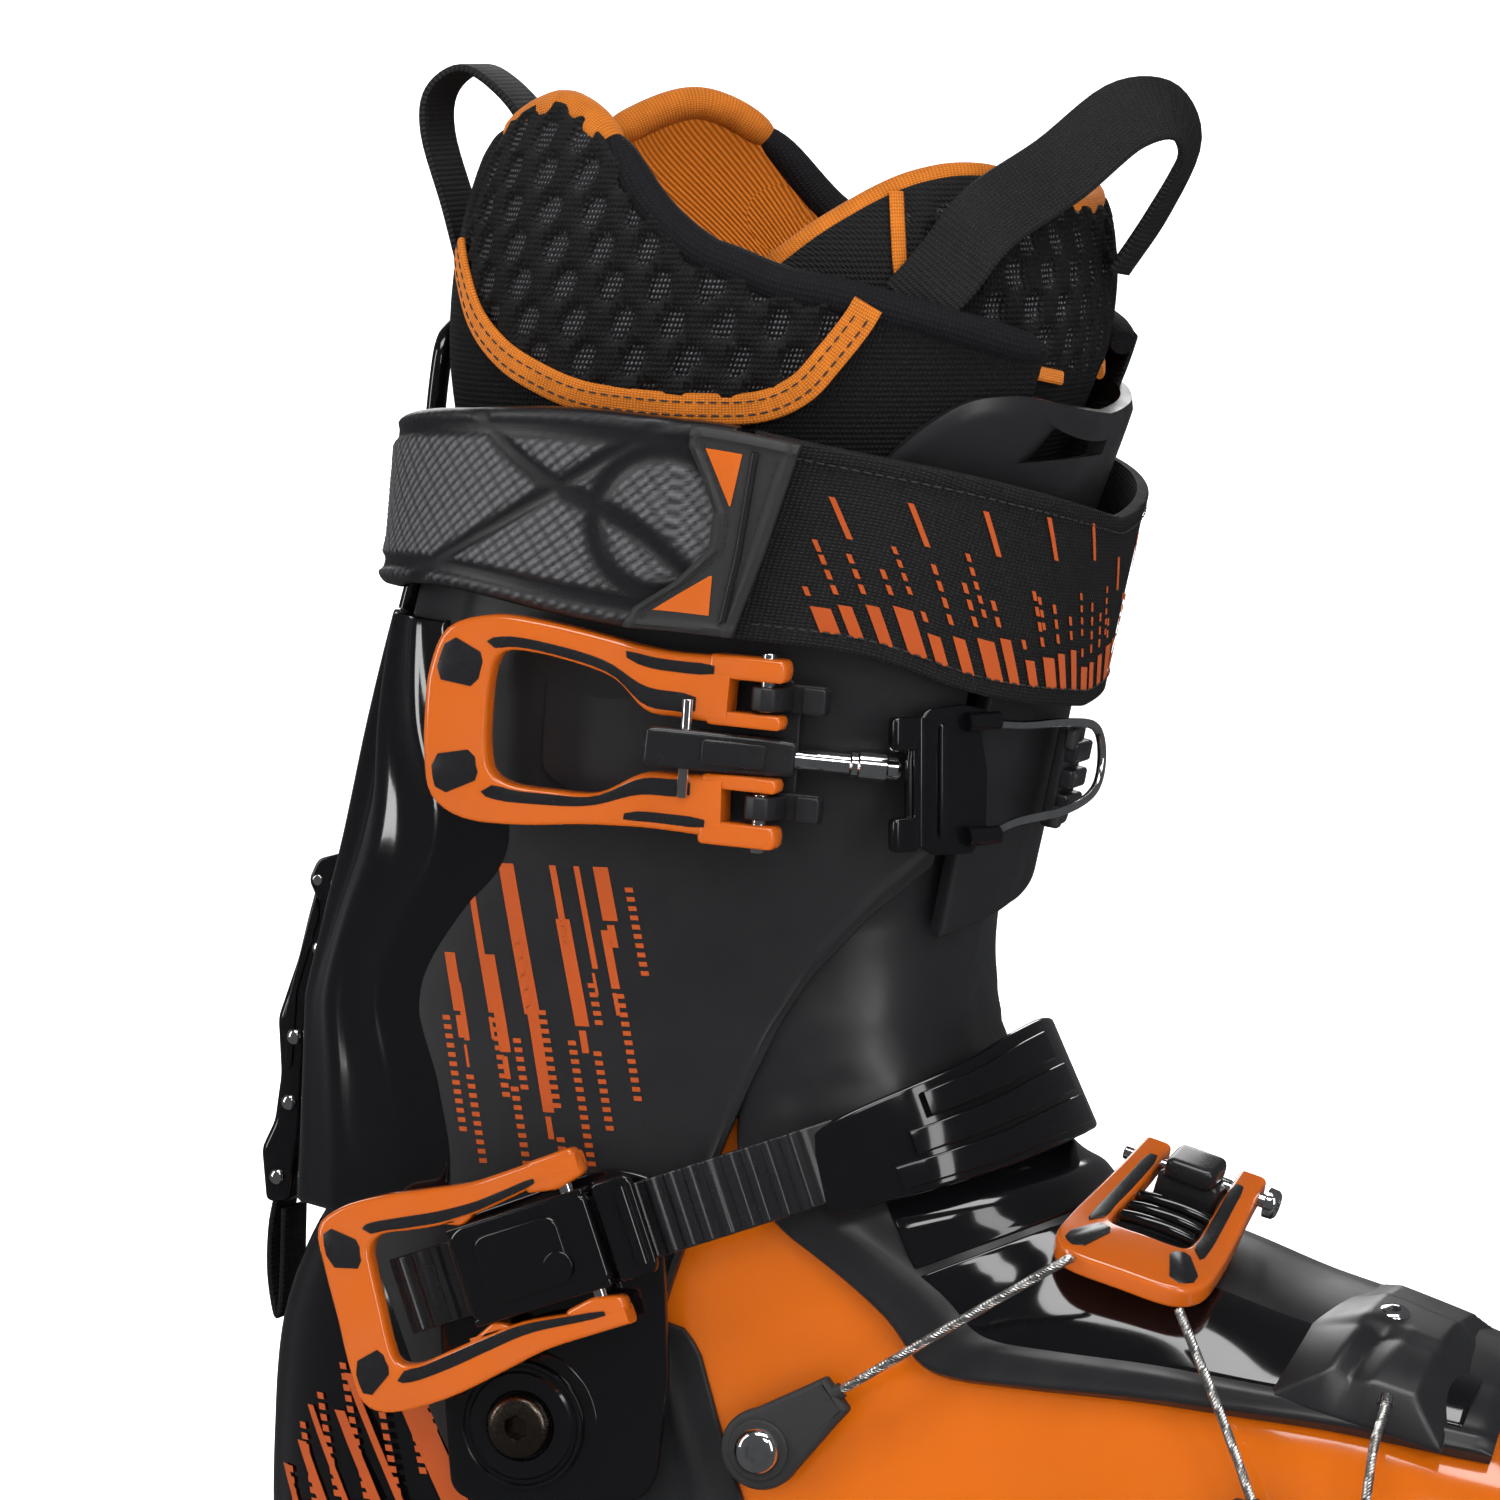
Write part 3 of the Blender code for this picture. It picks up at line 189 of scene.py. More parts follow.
class Shade:
    """One procedural material, with short names for the nodes that it needs."""

    def __init__(self, name, colour, roughness, **sockets):
        self.material = bpy.data.materials.new(name)
        self.material.use_nodes = True
        self.tree = self.material.node_tree
        self.shader = self.tree.nodes["Principled BSDF"]
        self.shader.inputs["Base Color"].default_value = (*colour, 1.0)
        self.shader.inputs["Roughness"].default_value = roughness
        for socket, value in sockets.items():
            self.shader.inputs[socket.replace("_", " ")].default_value = value
        self.normal = None

    def link(self, output, target):
        self.tree.links.new(output, target)

    def space(self, attribute=None):
        """Coordinates in millimetres: the object's own, or a surface's stored places."""
        if attribute:
            node = self.tree.nodes.new("ShaderNodeAttribute")
            node.attribute_name = attribute
            return node.outputs["Vector"]
        node = self.tree.nodes.new("ShaderNodeTexCoord")
        scale = self.tree.nodes.new("ShaderNodeVectorMath")
        scale.operation = "SCALE"
        scale.inputs["Scale"].default_value = 1.0 / MM
        self.link(node.outputs["Object"], scale.inputs[0])
        return scale.outputs["Vector"]

    def stretch(self, vector, factors):
        """Coordinates multiplied axis by axis."""
        node = self.tree.nodes.new("ShaderNodeVectorMath")
        node.operation = "MULTIPLY"
        self.link(vector, node.inputs[0])
        node.inputs[1].default_value = factors
        return node.outputs["Vector"]

    def noise(self, vector, size, detail=3.0):
        """Noise whose blobs are about size millimetres across."""
        node = self.tree.nodes.new("ShaderNodeTexNoise")
        node.inputs["Scale"].default_value = 1.0 / size
        node.inputs["Detail"].default_value = detail
        self.link(vector, node.inputs["Vector"])
        return node.outputs["Fac"]

    def math(self, operation, first, second=None):
        """A Math node on outputs or numbers."""
        node = self.tree.nodes.new("ShaderNodeMath")
        node.operation = operation
        for socket, value in zip(node.inputs, (first, second)):
            if value is None:
                continue
            if isinstance(value, (int, float)):
                socket.default_value = value
            else:
                self.link(value, socket)
        return node.outputs[0]

    def ribs(self, vector, axis, pitch):
        """A wave from 0 to 1 along one axis of the coordinates."""
        split = self.tree.nodes.new("ShaderNodeSeparateXYZ")
        self.link(vector, split.inputs[0])
        return self.wave(split.outputs[axis], pitch)

    def wave(self, distance, pitch):
        """A wave from 0 to 1 over a distance."""
        sine = self.math("SINE", self.math("MULTIPLY", distance, 2 * math.pi / pitch))
        return self.mixed(sine, 0.5, 0.5)

    def mixed(self, first, share, other, other_share=1.0):
        """A share of one factor added to a share of another factor or number."""
        if not isinstance(other, (int, float)):
            other = self.math("MULTIPLY", other, other_share)
        return self.math("ADD", self.math("MULTIPLY", first, share), other)

    def first_axis(self, vector):
        """The first coordinate of a vector."""
        split = self.tree.nodes.new("ShaderNodeSeparateXYZ")
        self.link(vector, split.inputs[0])
        return split.outputs[0]

    def spread(self, factor, low, high, socket):
        """Send a factor, stretched between two values, to a socket."""
        node = self.tree.nodes.new("ShaderNodeMapRange")
        node.inputs["From Min"].default_value = 0.3
        node.inputs["From Max"].default_value = 0.7
        node.inputs["To Min"].default_value = low
        node.inputs["To Max"].default_value = high
        self.link(factor, node.inputs["Value"])
        self.link(node.outputs["Result"], self.shader.inputs[socket])

    def tint(self, factor, stops):
        """Colour the surface by a factor, through (place, colour) stops."""
        node = self.tree.nodes.new("ShaderNodeValToRGB")
        ramp = node.color_ramp
        while len(ramp.elements) < len(stops):
            ramp.elements.new(0.5)
        for element, (place, colour) in zip(ramp.elements, stops):
            element.position = place
            element.color = (*colour, 1.0)
        self.link(factor, node.inputs["Fac"])
        self.link(node.outputs["Color"], self.shader.inputs["Base Color"])
        return node.outputs["Color"]

    def bump(self, height, depth, strength=1.0):
        """Raise the surface by a height factor times depth millimetres."""
        node = self.tree.nodes.new("ShaderNodeBump")
        node.inputs["Distance"].default_value = depth * MM
        node.inputs["Strength"].default_value = strength
        self.link(height, node.inputs["Height"])
        if self.normal:
            self.link(self.normal, node.inputs["Normal"])
        self.normal = node.outputs["Normal"]
        self.link(self.normal, self.shader.inputs["Normal"])

    def edges(self):
        """Where the mesh's corners stand out."""
        return self.tree.nodes.new("ShaderNodeNewGeometry").outputs["Pointiness"]


def scaled(colour, factor):
    """A colour made lighter or darker."""
    return tuple(min(channel * factor, 1.0) for channel in colour)


def plastic(name, colour, roughness, grain=0.0, depth=0.0, spread=0.05, wear=1.0, **sockets):
    """Moulded plastic or lacquer: uneven colour and gloss, fine grain, and corners rubbed lighter."""
    shade = Shade(name, colour, roughness, **sockets)
    space = shade.space()
    shade.spread(shade.noise(space, 9.0, 5.0), max(roughness - spread, 0.02), roughness + spread, "Roughness")
    blotch = shade.noise(space, 26.0)
    if wear != 1.0:
        corner = shade.math("MULTIPLY", shade.math("SUBTRACT", shade.edges(), 0.5), 2.2)
        blotch = shade.math("ADD", shade.math("MULTIPLY", blotch, 0.6), corner)
    shade.tint(blotch, ((0.2, scaled(colour, 0.9)), (0.62, colour), (0.95, scaled(colour, max(wear, 1.05)))))
    if grain:
        shade.bump(shade.noise(space, grain, 2.0), depth, 0.6)
    return shade.material


def metal(name, colour, roughness, brushed=(1.0, 1.0, 1.0)):
    """Bare metal with fine drawn lines and uneven polish."""
    shade = Shade(name, colour, roughness, Metallic=1.0)
    space = shade.space()
    lines = shade.noise(shade.stretch(space, brushed), 0.7, 4.0)
    shade.spread(lines, roughness * 0.7, roughness * 1.5, "Roughness")
    shade.tint(shade.noise(space, 3.0), ((0.25, scaled(colour, 0.82)), (0.7, colour)))
    shade.bump(lines, 0.01, 0.4)
    return shade.material


def cloth(name, colour, pitch, depth, light=1.8, roughness=0.85, across=None, **sockets):
    """Woven or knitted cloth: threads along the surface's stored places, with a painted highlight on their
    crowns and painted shade between them.
    """
    shade = Shade(name, colour, roughness, **sockets)
    place = shade.space("place")
    along = shade.ribs(place, 0, pitch)
    other = shade.ribs(place, 1, across or pitch)
    weave = shade.math("MULTIPLY", along, other)
    # Painted light: the threads' crowns are tinted lighter as a painted highlight and the gaps between them
    # darker as painted shade.
    shade.tint(shade.mixed(weave, 0.7, shade.noise(place, 4.0), 0.3),
               ((0.1, scaled(colour, 0.5)), (0.5, colour), (0.95, scaled(colour, light))))
    shade.bump(weave, depth)
    shade.bump(shade.noise(place, pitch * 0.4), depth * 0.5, 0.6)
    return shade.material


def twill(name, colour, pitch, depth, slope=1.0):
    """Cloth with slanted ribs, with a painted highlight on their crowns and painted shade between them."""
    shade = Shade(name, colour, 0.8, Specular_IOR_Level=0.2)
    place = shade.space("place")
    split = shade.tree.nodes.new("ShaderNodeSeparateXYZ")
    shade.link(place, split.inputs[0])
    slant = shade.math("ADD", split.outputs[0], shade.math("MULTIPLY", split.outputs[1], slope))
    rib = shade.wave(slant, pitch)
    fibre = shade.mixed(rib, 0.6, shade.noise(place, 0.6), 0.4)
    # Painted light: the ribs' crowns are tinted lighter as a painted highlight and their grooves darker as
    # painted shade.
    shade.tint(fibre, ((0.15, scaled(colour, 0.62)), (0.55, colour), (0.95, scaled(colour, 1.3))))
    shade.bump(rib, depth)
    shade.bump(shade.noise(place, 0.35), depth * 0.5, 0.5)
    return shade.material


def knit_mesh(name):
    """Open mesh over a padded ground: raised yarn is dull, the sunk cells show a shinier fine knit with
    painted glints in its colour.
    """
    shade = Shade(name, (0.012, 0.012, 0.013), 0.7, Specular_IOR_Level=0.35)
    place = shade.space("place")
    raised = shade.first_axis(shade.space("relief"))
    yarn = shade.math("MULTIPLY", shade.ribs(place, 0, 0.85), shade.ribs(place, 1, 1.15))
    # Painted highlight: the fine knit in the sunk cells is tinted lighter as painted glints.
    painted_glint = shade.math("MULTIPLY", yarn, shade.math("SUBTRACT", 1.0, raised))
    shade.tint(shade.mixed(shade.noise(place, 0.9), 0.25, painted_glint),
               ((0.12, (0.002, 0.002, 0.0025)), (0.5, (0.007, 0.007, 0.008)), (1.0, (0.12, 0.12, 0.13))))
    shade.spread(raised, 0.45, 0.8, "Roughness")
    shade.bump(yarn, 0.35)
    shade.bump(shade.noise(place, 0.5), 0.15, 0.6)
    return shade.material


def basket_foam(name):
    """Moulded strap foam: a pressed basket weave with a painted highlight on its crowns and painted shade in
    its grooves, and smooth channels.
    """
    shade = Shade(name, (0.03, 0.03, 0.032), 0.6)
    raised = shade.first_axis(shade.space("relief"))
    place = shade.space("place")
    fibre = shade.noise(shade.stretch(place, (1.0, 3.0, 1.0)), 0.5)
    # Painted light: raised crowns are tinted lighter as a painted highlight and the low grooves near black as
    # painted shade.
    tone = shade.mixed(raised, 0.75, fibre, 0.25)
    shade.tint(tone, ((0.1, (0.004, 0.004, 0.005)), (0.45, (0.014, 0.014, 0.015)),
                      (0.95, (0.10, 0.10, 0.105))))
    shade.spread(tone, 0.35, 0.65, "Roughness")
    shade.bump(shade.noise(place, 0.3), 0.08)
    return shade.material


ORANGE = (0.42, 0.085, 0.003)
LEVER_ORANGE = (0.39, 0.076, 0.004)
TRIM_ORANGE = (0.50, 0.140, 0.010)
PRINT_ORANGE = (0.28, 0.046, 0.005)

LOOKS = {
    "shell_orange": plastic("shell_orange", ORANGE, 0.12, spread=0.02, Coat_Weight=0.3, Coat_Roughness=0.04),
    "gloss_black": plastic("gloss_black", (0.0025, 0.0025, 0.003), 0.10, spread=0.02, wear=1.6,
                           Coat_Weight=0.3, Coat_Roughness=0.03),
    "satin_black": plastic("satin_black", (0.008, 0.008, 0.009), 0.27, 0.5, 0.012, 0.05, 1.5),
    "matte_black": plastic("matte_black", (0.008, 0.008, 0.0092), 0.46, 0.28, 0.04, 0.05),
    "tongue_black": plastic("tongue_black", (0.009, 0.009, 0.010), 0.35, 0.3, 0.025, 0.06),
    "soft_black": plastic("soft_black", (0.014, 0.014, 0.014), 0.62, 0.4, 0.06, 0.08),
    "rubber": plastic("rubber", (0.018, 0.018, 0.018), 0.75, 0.6, 0.12, 0.08, 1.8),
    "lever_orange": plastic("lever_orange", LEVER_ORANGE, 0.20, 0.35, 0.012, 0.05, 1.25, Coat_Weight=0.6,
                            Coat_Roughness=0.10),
    "print_orange": plastic("print_orange", PRINT_ORANGE, 0.6, Specular_IOR_Level=0.15),
    "chrome": metal("chrome", (0.82, 0.82, 0.83), 0.09),
    "steel": metal("steel", (0.60, 0.60, 0.60), 0.24, (1.0, 1.0, 6.0)),
    "dark_steel": metal("dark_steel", (0.13, 0.105, 0.085), 0.26),
    "cable_steel": metal("cable_steel", (0.62, 0.61, 0.59), 0.32),
    "webbing": cloth("webbing", (0.006, 0.006, 0.0065), 1.1, 0.22, 2.0, 0.75, 0.7, Specular_IOR_Level=0.3),
    "jersey": cloth("jersey", (0.0035, 0.0035, 0.005), 0.8, 0.16, 2.2, 0.85, 1.2, Specular_IOR_Level=0.25),
    "binding": cloth("binding", TRIM_ORANGE, 0.7, 0.12, 1.2, 0.8, 0.5, Specular_IOR_Level=0.2),
    "lining": twill("lining", TRIM_ORANGE, 1.5, 0.18),
    "knit_mesh": knit_mesh("knit_mesh"),
    "basket_foam": basket_foam("basket_foam"),
    "board": plastic("board", (0.18, 0.18, 0.19), 0.6, 0.5, 0.05),
    "thread": cloth("thread", (0.02, 0.02, 0.02), 0.5, 0.05),
}


# ---------------------------------------------------------------- mesh helpers


def make_mesh(name, points, faces, place=None, relief=None, sharp=38.0):
    """A mesh from points in millimetres, with each point's place on its surface for the cloth materials."""
    mesh = bpy.data.meshes.new(name)
    mesh.from_pydata((np.asarray(points, float) * MM).tolist(), [], faces)
    for key, values in (("place", place), ("relief", relief)):
        if values is not None:
            stored = mesh.attributes.new(key, "FLOAT_VECTOR", "POINT")
            stored.data.foreach_set("vector", np.asarray(values, np.float32).ravel())
    mesh.validate()
    mesh.shade_smooth()
    mesh.set_sharp_from_angle(angle=math.radians(sharp))
    return mesh


def add(name, mesh, look, body, nodes=()):
    """Show a mesh as a piece of the boot: its material, body and the CAD nodes it stands for."""
    part = bpy.data.objects.new(name, mesh)
    bpy.context.scene.collection.objects.link(part)
    mesh.materials.clear()
    mesh.materials.append(LOOKS[look])
    if isinstance(body, str):
        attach(part, body)
    else:
        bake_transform(part)
    if nodes:
        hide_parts(*nodes)
    return part


def joined(name, meshes):
    """One mesh from several, each left as its own closed surface."""
    shape = bmesh.new()
    for mesh in meshes:
        shape.from_mesh(mesh)
        bpy.data.meshes.remove(mesh)
    made = bpy.data.meshes.new(name)
    shape.to_mesh(made)
    shape.free()
    made.shade_smooth()
    made.set_sharp_from_angle(angle=math.radians(38))
    return made


def evaluated(part):
    """An object's mesh with its modifiers applied, in world space. The object is removed."""
    bpy.context.view_layer.update()
    mesh = bpy.data.meshes.new_from_object(part.evaluated_get(bpy.context.evaluated_depsgraph_get()))
    mesh.transform(part.matrix_world)
    bpy.data.objects.remove(part, do_unlink=True)
    shape = bmesh.new()
    shape.from_mesh(mesh)
    bmesh.ops.remove_doubles(shape, verts=shape.verts, dist=0.000004)
    bmesh.ops.dissolve_degenerate(shape, edges=shape.edges, dist=0.000004)
    shape.to_mesh(mesh)
    shape.free()
    mesh.shade_smooth()
    mesh.set_sharp_from_angle(angle=math.radians(38))
    return mesh


def grid_normals(points, closed, away):
    """Unit normals of a grid of points, facing away from a point, or from a line up through (x, y)."""
    if closed:
        wide = np.concatenate((points[:, -1:], points, points[:, :1]), axis=1)
        across = np.gradient(wide, axis=1)[:, 1:-1]
    else:
        across = np.gradient(points, axis=1)
    up = np.gradient(points, axis=0)
    normal = np.cross(across, up)
    normal /= np.maximum(np.linalg.norm(normal, axis=-1, keepdims=True), 1e-9)
    outward = points[..., :len(away)] - np.array(away)
    facing = np.sum(normal[..., :len(away)] * outward)
    return normal if facing > 0 else -normal


def surface_places(points):
    """Distances in millimetres along a grid's columns and rows."""
    across = np.linalg.norm(np.diff(points, axis=1), axis=-1)
    down = np.linalg.norm(np.diff(points, axis=0), axis=-1)
    rows, columns = points.shape[:2]
    u = np.concatenate((np.zeros((rows, 1)), np.cumsum(across, axis=1)), axis=1)
    v = np.concatenate((np.zeros((1, columns)), np.cumsum(down, axis=0)), axis=0)
    return u, v


def edge_roll(points, radius, closed):
    """How far a grid drops near its edges, so that the edge is a rounded one."""
    u, v = surface_places(points)
    near = np.minimum(v, v[-1] - v)
    if not closed:
        near = np.minimum(near, np.minimum(u, u[:, -1:] - u))
    short = 1.0 - np.clip(near / radius, 0.0, 1.0)
    return radius * (1.0 - np.sqrt(1.0 - short ** 2))


def skin_mesh(name, points, wall, relief=0.0, roll=0.7, closed=False, away=(20.0, 0.0), keep=None,
              stored=None):
    """A wall of even thickness under a grid of points. relief lifts its face, roll rounds its edges."""
    points = np.asarray(points, float)
    rows, columns = points.shape[:2]
    normal = grid_normals(points, closed, away)
    lift = np.broadcast_to(np.asarray(relief, float), (rows, columns))
    if roll:
        lift = lift - edge_roll(points, roll, closed)
    outer = points + normal * lift[..., None]
    inner = points - normal * wall
    u, v = surface_places(points)
    place = np.stack((u, v, np.zeros_like(u)), axis=-1)
    height = np.zeros_like(place)
    height[..., 0] = stored if stored is not None else 0.0
    count = rows * columns
    cells = columns if closed else columns - 1
    faces = []
    rims = {}
    across, up = points[0, 1] - points[0, 0], points[1, 0] - points[0, 0]
    turned_in = float(np.dot(np.cross(across, up), normal[0, 0])) < 0
    for i in range(rows - 1):
        for j in range(cells):
            if keep is not None and not keep[i, j]:
                continue
            k = (j + 1) % columns
            face = (i * columns + j, i * columns + k, (i + 1) * columns + k, (i + 1) * columns + j)
            if turned_in:
                face = face[::-1]
            faces.append(face)
            faces.append(tuple(corner + count for corner in reversed(face)))
            for a, b in zip(face, face[1:] + face[:1]):
                if (b, a) in rims:
                    del rims[(b, a)]
                else:
                    rims[(a, b)] = True
    for a, b in rims:
        faces.append((b, a, a + count, b + count))
    verts = np.concatenate((outer.reshape(-1, 3), inner.reshape(-1, 3)))
    places = np.concatenate((place.reshape(-1, 3), place.reshape(-1, 3)))
    heights = np.concatenate((height.reshape(-1, 3), height.reshape(-1, 3)))
    return tidy_mesh(name, verts, faces, places, heights)


def tidy_mesh(name, verts, faces, places, heights):
    """A mesh without the points that no face uses."""
    used = np.unique(np.fromiter((c for face in faces for c in face), int))
    renamed = np.full(len(verts), -1)
    renamed[used] = np.arange(len(used))
    faces = [tuple(int(renamed[c]) for c in face) for face in faces]
    return make_mesh(name, verts[used], faces, places[used], heights[used])


def steps(start, end, count, edge=True):
    """Places from start to end, closer together at both ends where an edge rolls over."""
    even = np.linspace(0.0, 1.0, count + 1)
    if edge:
        cell = 1.0 / count
        near = cell * np.array((0.12, 0.3, 0.6))
        even = np.sort(np.concatenate((even, near, 1.0 - near)))
    return start + (end - start) * even


def leg_grid(low, high, degrees, rows, offset=0.0):
    """A grid of leg points between two heights that may change with the angle, as offset may with height."""
    degrees = np.asarray(degrees, float)
    low = low(degrees) if callable(low) else np.full_like(degrees, low)
    high = high(degrees) if callable(high) else np.full_like(degrees, high)
    t = steps(0.0, 1.0, rows)[:, None]
    z = low + (high - low) * t
    reach = offset(z) if callable(offset) else offset
    return leg(z, np.broadcast_to(degrees, z.shape), reach)


def axes(origin, first, second):
    """A frame matrix from a point in millimetres and two directions."""
    a = Vector(first).normalized()
    c = a.cross(Vector(second)).normalized()
    made = Matrix((a, c.cross(a), c)).transposed().to_4x4()
    made.translation = Vector(origin) * MM
    return made


def moved(matrix, x, y, z):
    """A frame shifted along its own axes, in millimetres."""
    return matrix @ Matrix.Translation(Vector((x, y, z)) * MM)


def point_in(matrix, x, y, z):
    """A point of a frame, in millimetres."""
    return (matrix @ (Vector((x, y, z)) * MM)) / MM


def round_corners(outline, radius, count=5):
    """An outline with each corner replaced by an arc, where there is room for it."""
    made = []
    size = len(outline)
    for i in range(size):
        before, corner, after = (Vector((*outline[k % size][:2], 0)) for k in (i - 1, i, i + 1))
        to_before, to_after = before - corner, after - corner
        room = min(radius, to_before.length * 0.45, to_after.length * 0.45)
        start = corner + to_before.normalized() * room
        end = corner + to_after.normalized() * room
        for step in range(count + 1):
            t = step / count
            made.append(((1 - t) ** 2 * start + 2 * t * (1 - t) * corner + t * t * end)[:2])
    return made


def plate_mesh(name, outline, thickness, matrix, edge=0.6, corner=0.0, holes=()):
    """A flat outline with rounded edges, centred on a frame, as a closed mesh in world space."""
    curve = bpy.data.curves.new(name, "CURVE")
    curve.dimensions = "2D"
    curve.fill_mode = "BOTH"
    curve.extrude = (thickness / 2 - edge) * MM
    curve.bevel_depth = edge * MM
    curve.bevel_resolution = 2
    curve.offset = -edge * MM
    for ring in (outline, *holes):
        ring = round_corners(ring, corner) if corner and ring is outline else ring
        spline = curve.splines.new("POLY")
        spline.points.add(len(ring) - 1)
        for point, (x, y) in zip(spline.points, ring):
            point.co = (x * MM, y * MM, 0.0, 1.0)
        spline.use_cyclic_u = True
    part = bpy.data.objects.new(name, curve)
    bpy.context.scene.collection.objects.link(part)
    part.matrix_world = matrix
    mesh = evaluated(part)
    bpy.data.curves.remove(curve)
    return mesh


def box_outline(length, width):
    """A rectangle about the origin."""
    x, y = length / 2, width / 2
    return [(-x, -y), (x, -y), (x, y), (-x, y)]


def circle(radius, count=32, x=0.0, y=0.0):
    """A round outline."""
    turns = np.linspace(0, 2 * math.pi, count, endpoint=False)
    return [(x + radius * math.cos(t), y + radius * math.sin(t)) for t in turns]


def ring_faces(count, size):
    """Faces between count rings of size points each, with a face over both ends."""
    faces = []
    for i in range(count - 1):
        for j in range(size):
            k = (j + 1) % size
            faces.append((i * size + j, i * size + k, (i + 1) * size + k, (i + 1) * size + j))
    faces.append(tuple(reversed(range(size))))
    faces.append(tuple((count - 1) * size + j for j in range(size)))
    return faces


def lathe_mesh(name, rings, centre, direction, sides=40):
    """A turned solid from (radius, height) rings. A third value of 1 makes a ring six-sided."""
    turns = np.linspace(0, 2 * math.pi, sides, endpoint=False)
    flat = math.radians(30)
    six_sided = math.cos(flat) / np.cos((turns + flat) % (2 * flat) - flat)
    points = []
    for radius, height, *six in rings:
        reach = radius * (six_sided if six else np.ones_like(turns))
        ring = (reach * np.cos(turns), reach * np.sin(turns), np.full_like(turns, height))
        points.append(np.stack(ring, axis=1))
    faces = [face[::-1] for face in ring_faces(len(rings), sides)]
    mesh = make_mesh(name, np.concatenate(points), faces)
    turn = Vector(direction).to_track_quat("Z", "Y").to_matrix().to_4x4()
    mesh.transform(Matrix.Translation(Vector(centre) * MM) @ turn)
    return mesh


def flow(points, count):
    """Points on a smooth curve through the given ones, count to each stretch."""
    given = [Vector(p) for p in points]
    ends = [2 * given[0] - given[1]] + given + [2 * given[-1] - given[-2]]
    path = []
    for a, b, c, d in zip(ends, ends[1:], ends[2:], ends[3:]):
        for i in range(count):
            t = i / count
            path.append(0.5 * (2 * b + (c - a) * t + (2 * a - 5 * b + 4 * c - d) * t * t
                               + (3 * b - a - 3 * c + d) * t ** 3))
    path.append(given[-1])
    return path


def directions(path):
    """The direction of a path at each of its points."""
    last = len(path) - 1
    return [(path[min(i + 1, last)] - path[max(i - 1, 0)]).normalized() for i in range(last + 1)]


def distances(path):
    """How far along a path each of its points lies."""
    points = np.array([tuple(point) for point in path])
    return np.concatenate(((0,), np.cumsum(np.linalg.norm(np.diff(points, axis=0), axis=1))))


def corner_section(half_width, half_wall, radius, count=4):
    """A rectangle with round corners, counter-clockwise, as an array of points."""
    radius = min(radius, half_width * 0.98, half_wall * 0.98)
    points = []
    for corner, (sx, sy) in enumerate(((1, 1), (-1, 1), (-1, -1), (1, -1))):
        for step in range(count + 1):
            turn = math.pi / 2 * (corner + step / count)
            points.append((sx * (half_width - radius) + radius * math.cos(turn),
                           sy * (half_wall - radius) + radius * math.sin(turn)))
    return np.array(points)


def sweep_mesh(name, stations, count=4):
    """A bar through stations of (centre, across, normal, half width, half wall, corner radius)."""
    rings = []
    places = []
    gone = distances([station[0] for station in stations])
    for distance, (centre, across, normal, half_width, half_wall, radius) in zip(gone, stations):
        section = corner_section(half_width, half_wall, radius, count)
        ring = np.array(centre) + section[:, :1] * np.array(across) + section[:, 1:] * np.array(normal)
        rings.append(ring)
        places.append(np.stack((np.full(len(section), distance), section[:, 0], section[:, 1]), axis=1))
    faces = ring_faces(len(rings), len(rings[0]))
    mesh = make_mesh(name, np.concatenate(rings), faces, np.concatenate(places))
    shape = bmesh.new()
    shape.from_mesh(mesh)
    bmesh.ops.recalc_face_normals(shape, faces=shape.faces)
    shape.to_mesh(mesh)
    shape.free()
    return mesh


def bar_mesh(name, pairs, matrix, heights, half_wall, edge=1.1, count=4):
    """A bar between pairs of outer and inner points in a frame, lifted by heights at each pair."""
    outer = flow([(p[0], p[1], h) for p, h in zip(pairs, heights)], count)
    inner = flow([(p[2], p[3], h) for p, h in zip(pairs, heights)], count)
    turn = matrix.to_3x3()
    stations = []
    for a, b in zip(outer, inner):
        centre = (matrix @ ((a + b) / 2 * MM)) / MM
        across = (turn @ (a - b)).normalized()
        stations.append((centre, across, turn.col[2], (a - b).length / 2, half_wall, edge))
    return sweep_mesh(name, stations)


def inlay_mesh(name, pairs, matrix, heights, start, end, low, high, face, wall=0.5, count=4):
    """A strip let into a bar's face from one pair to another, between two fractions of its width."""
    stations = []
    turn = matrix.to_3x3()
    index = range(len(pairs))
    middle = (low + high) / 2
    for t in np.linspace(0, 1, max(int((end - start) * count) + 1, 3)):
        place = start + (end - start) * t
        ox, oy, ix, iy, h = (float(smooth_between(list(zip(index, values)), place))
                             for values in (*zip(*pairs), heights))
        outer, inner = Vector((ox, oy, h + face)), Vector((ix, iy, h + face))
        half = (high - low) / 2 * min(1.0, 6.0 * min(t, 1 - t) + 0.7)
        a, b = inner.lerp(outer, middle + half), inner.lerp(outer, middle - half)
        centre = (matrix @ ((a + b) / 2 * MM)) / MM
        across = (turn @ (a - b)).normalized()
        stations.append((centre, across, turn.col[2], (a - b).length / 2, wall / 2, wall * 0.4))
    return sweep_mesh(name, stations, 2)


def tube_mesh(name, path, radius, sides=12):
    """A round bar along a path."""
    stations = path_frames(path)
    turns = np.linspace(0, 2 * math.pi, sides, endpoint=False)
    rings = []
    places = []
    gone = distances([station[0] for station in stations])
    for i, (centre, side, up) in enumerate(stations):
        reach = radius(i / (len(stations) - 1)) if callable(radius) else radius
        rings.extend(tuple(centre + (side * math.cos(t) + up * math.sin(t)) * reach) for t in turns)
        places.extend((gone[i], reach * t, 0.0) for t in turns)
    return make_mesh(name, np.array(rings), ring_faces(len(stations), sides), np.array(places))


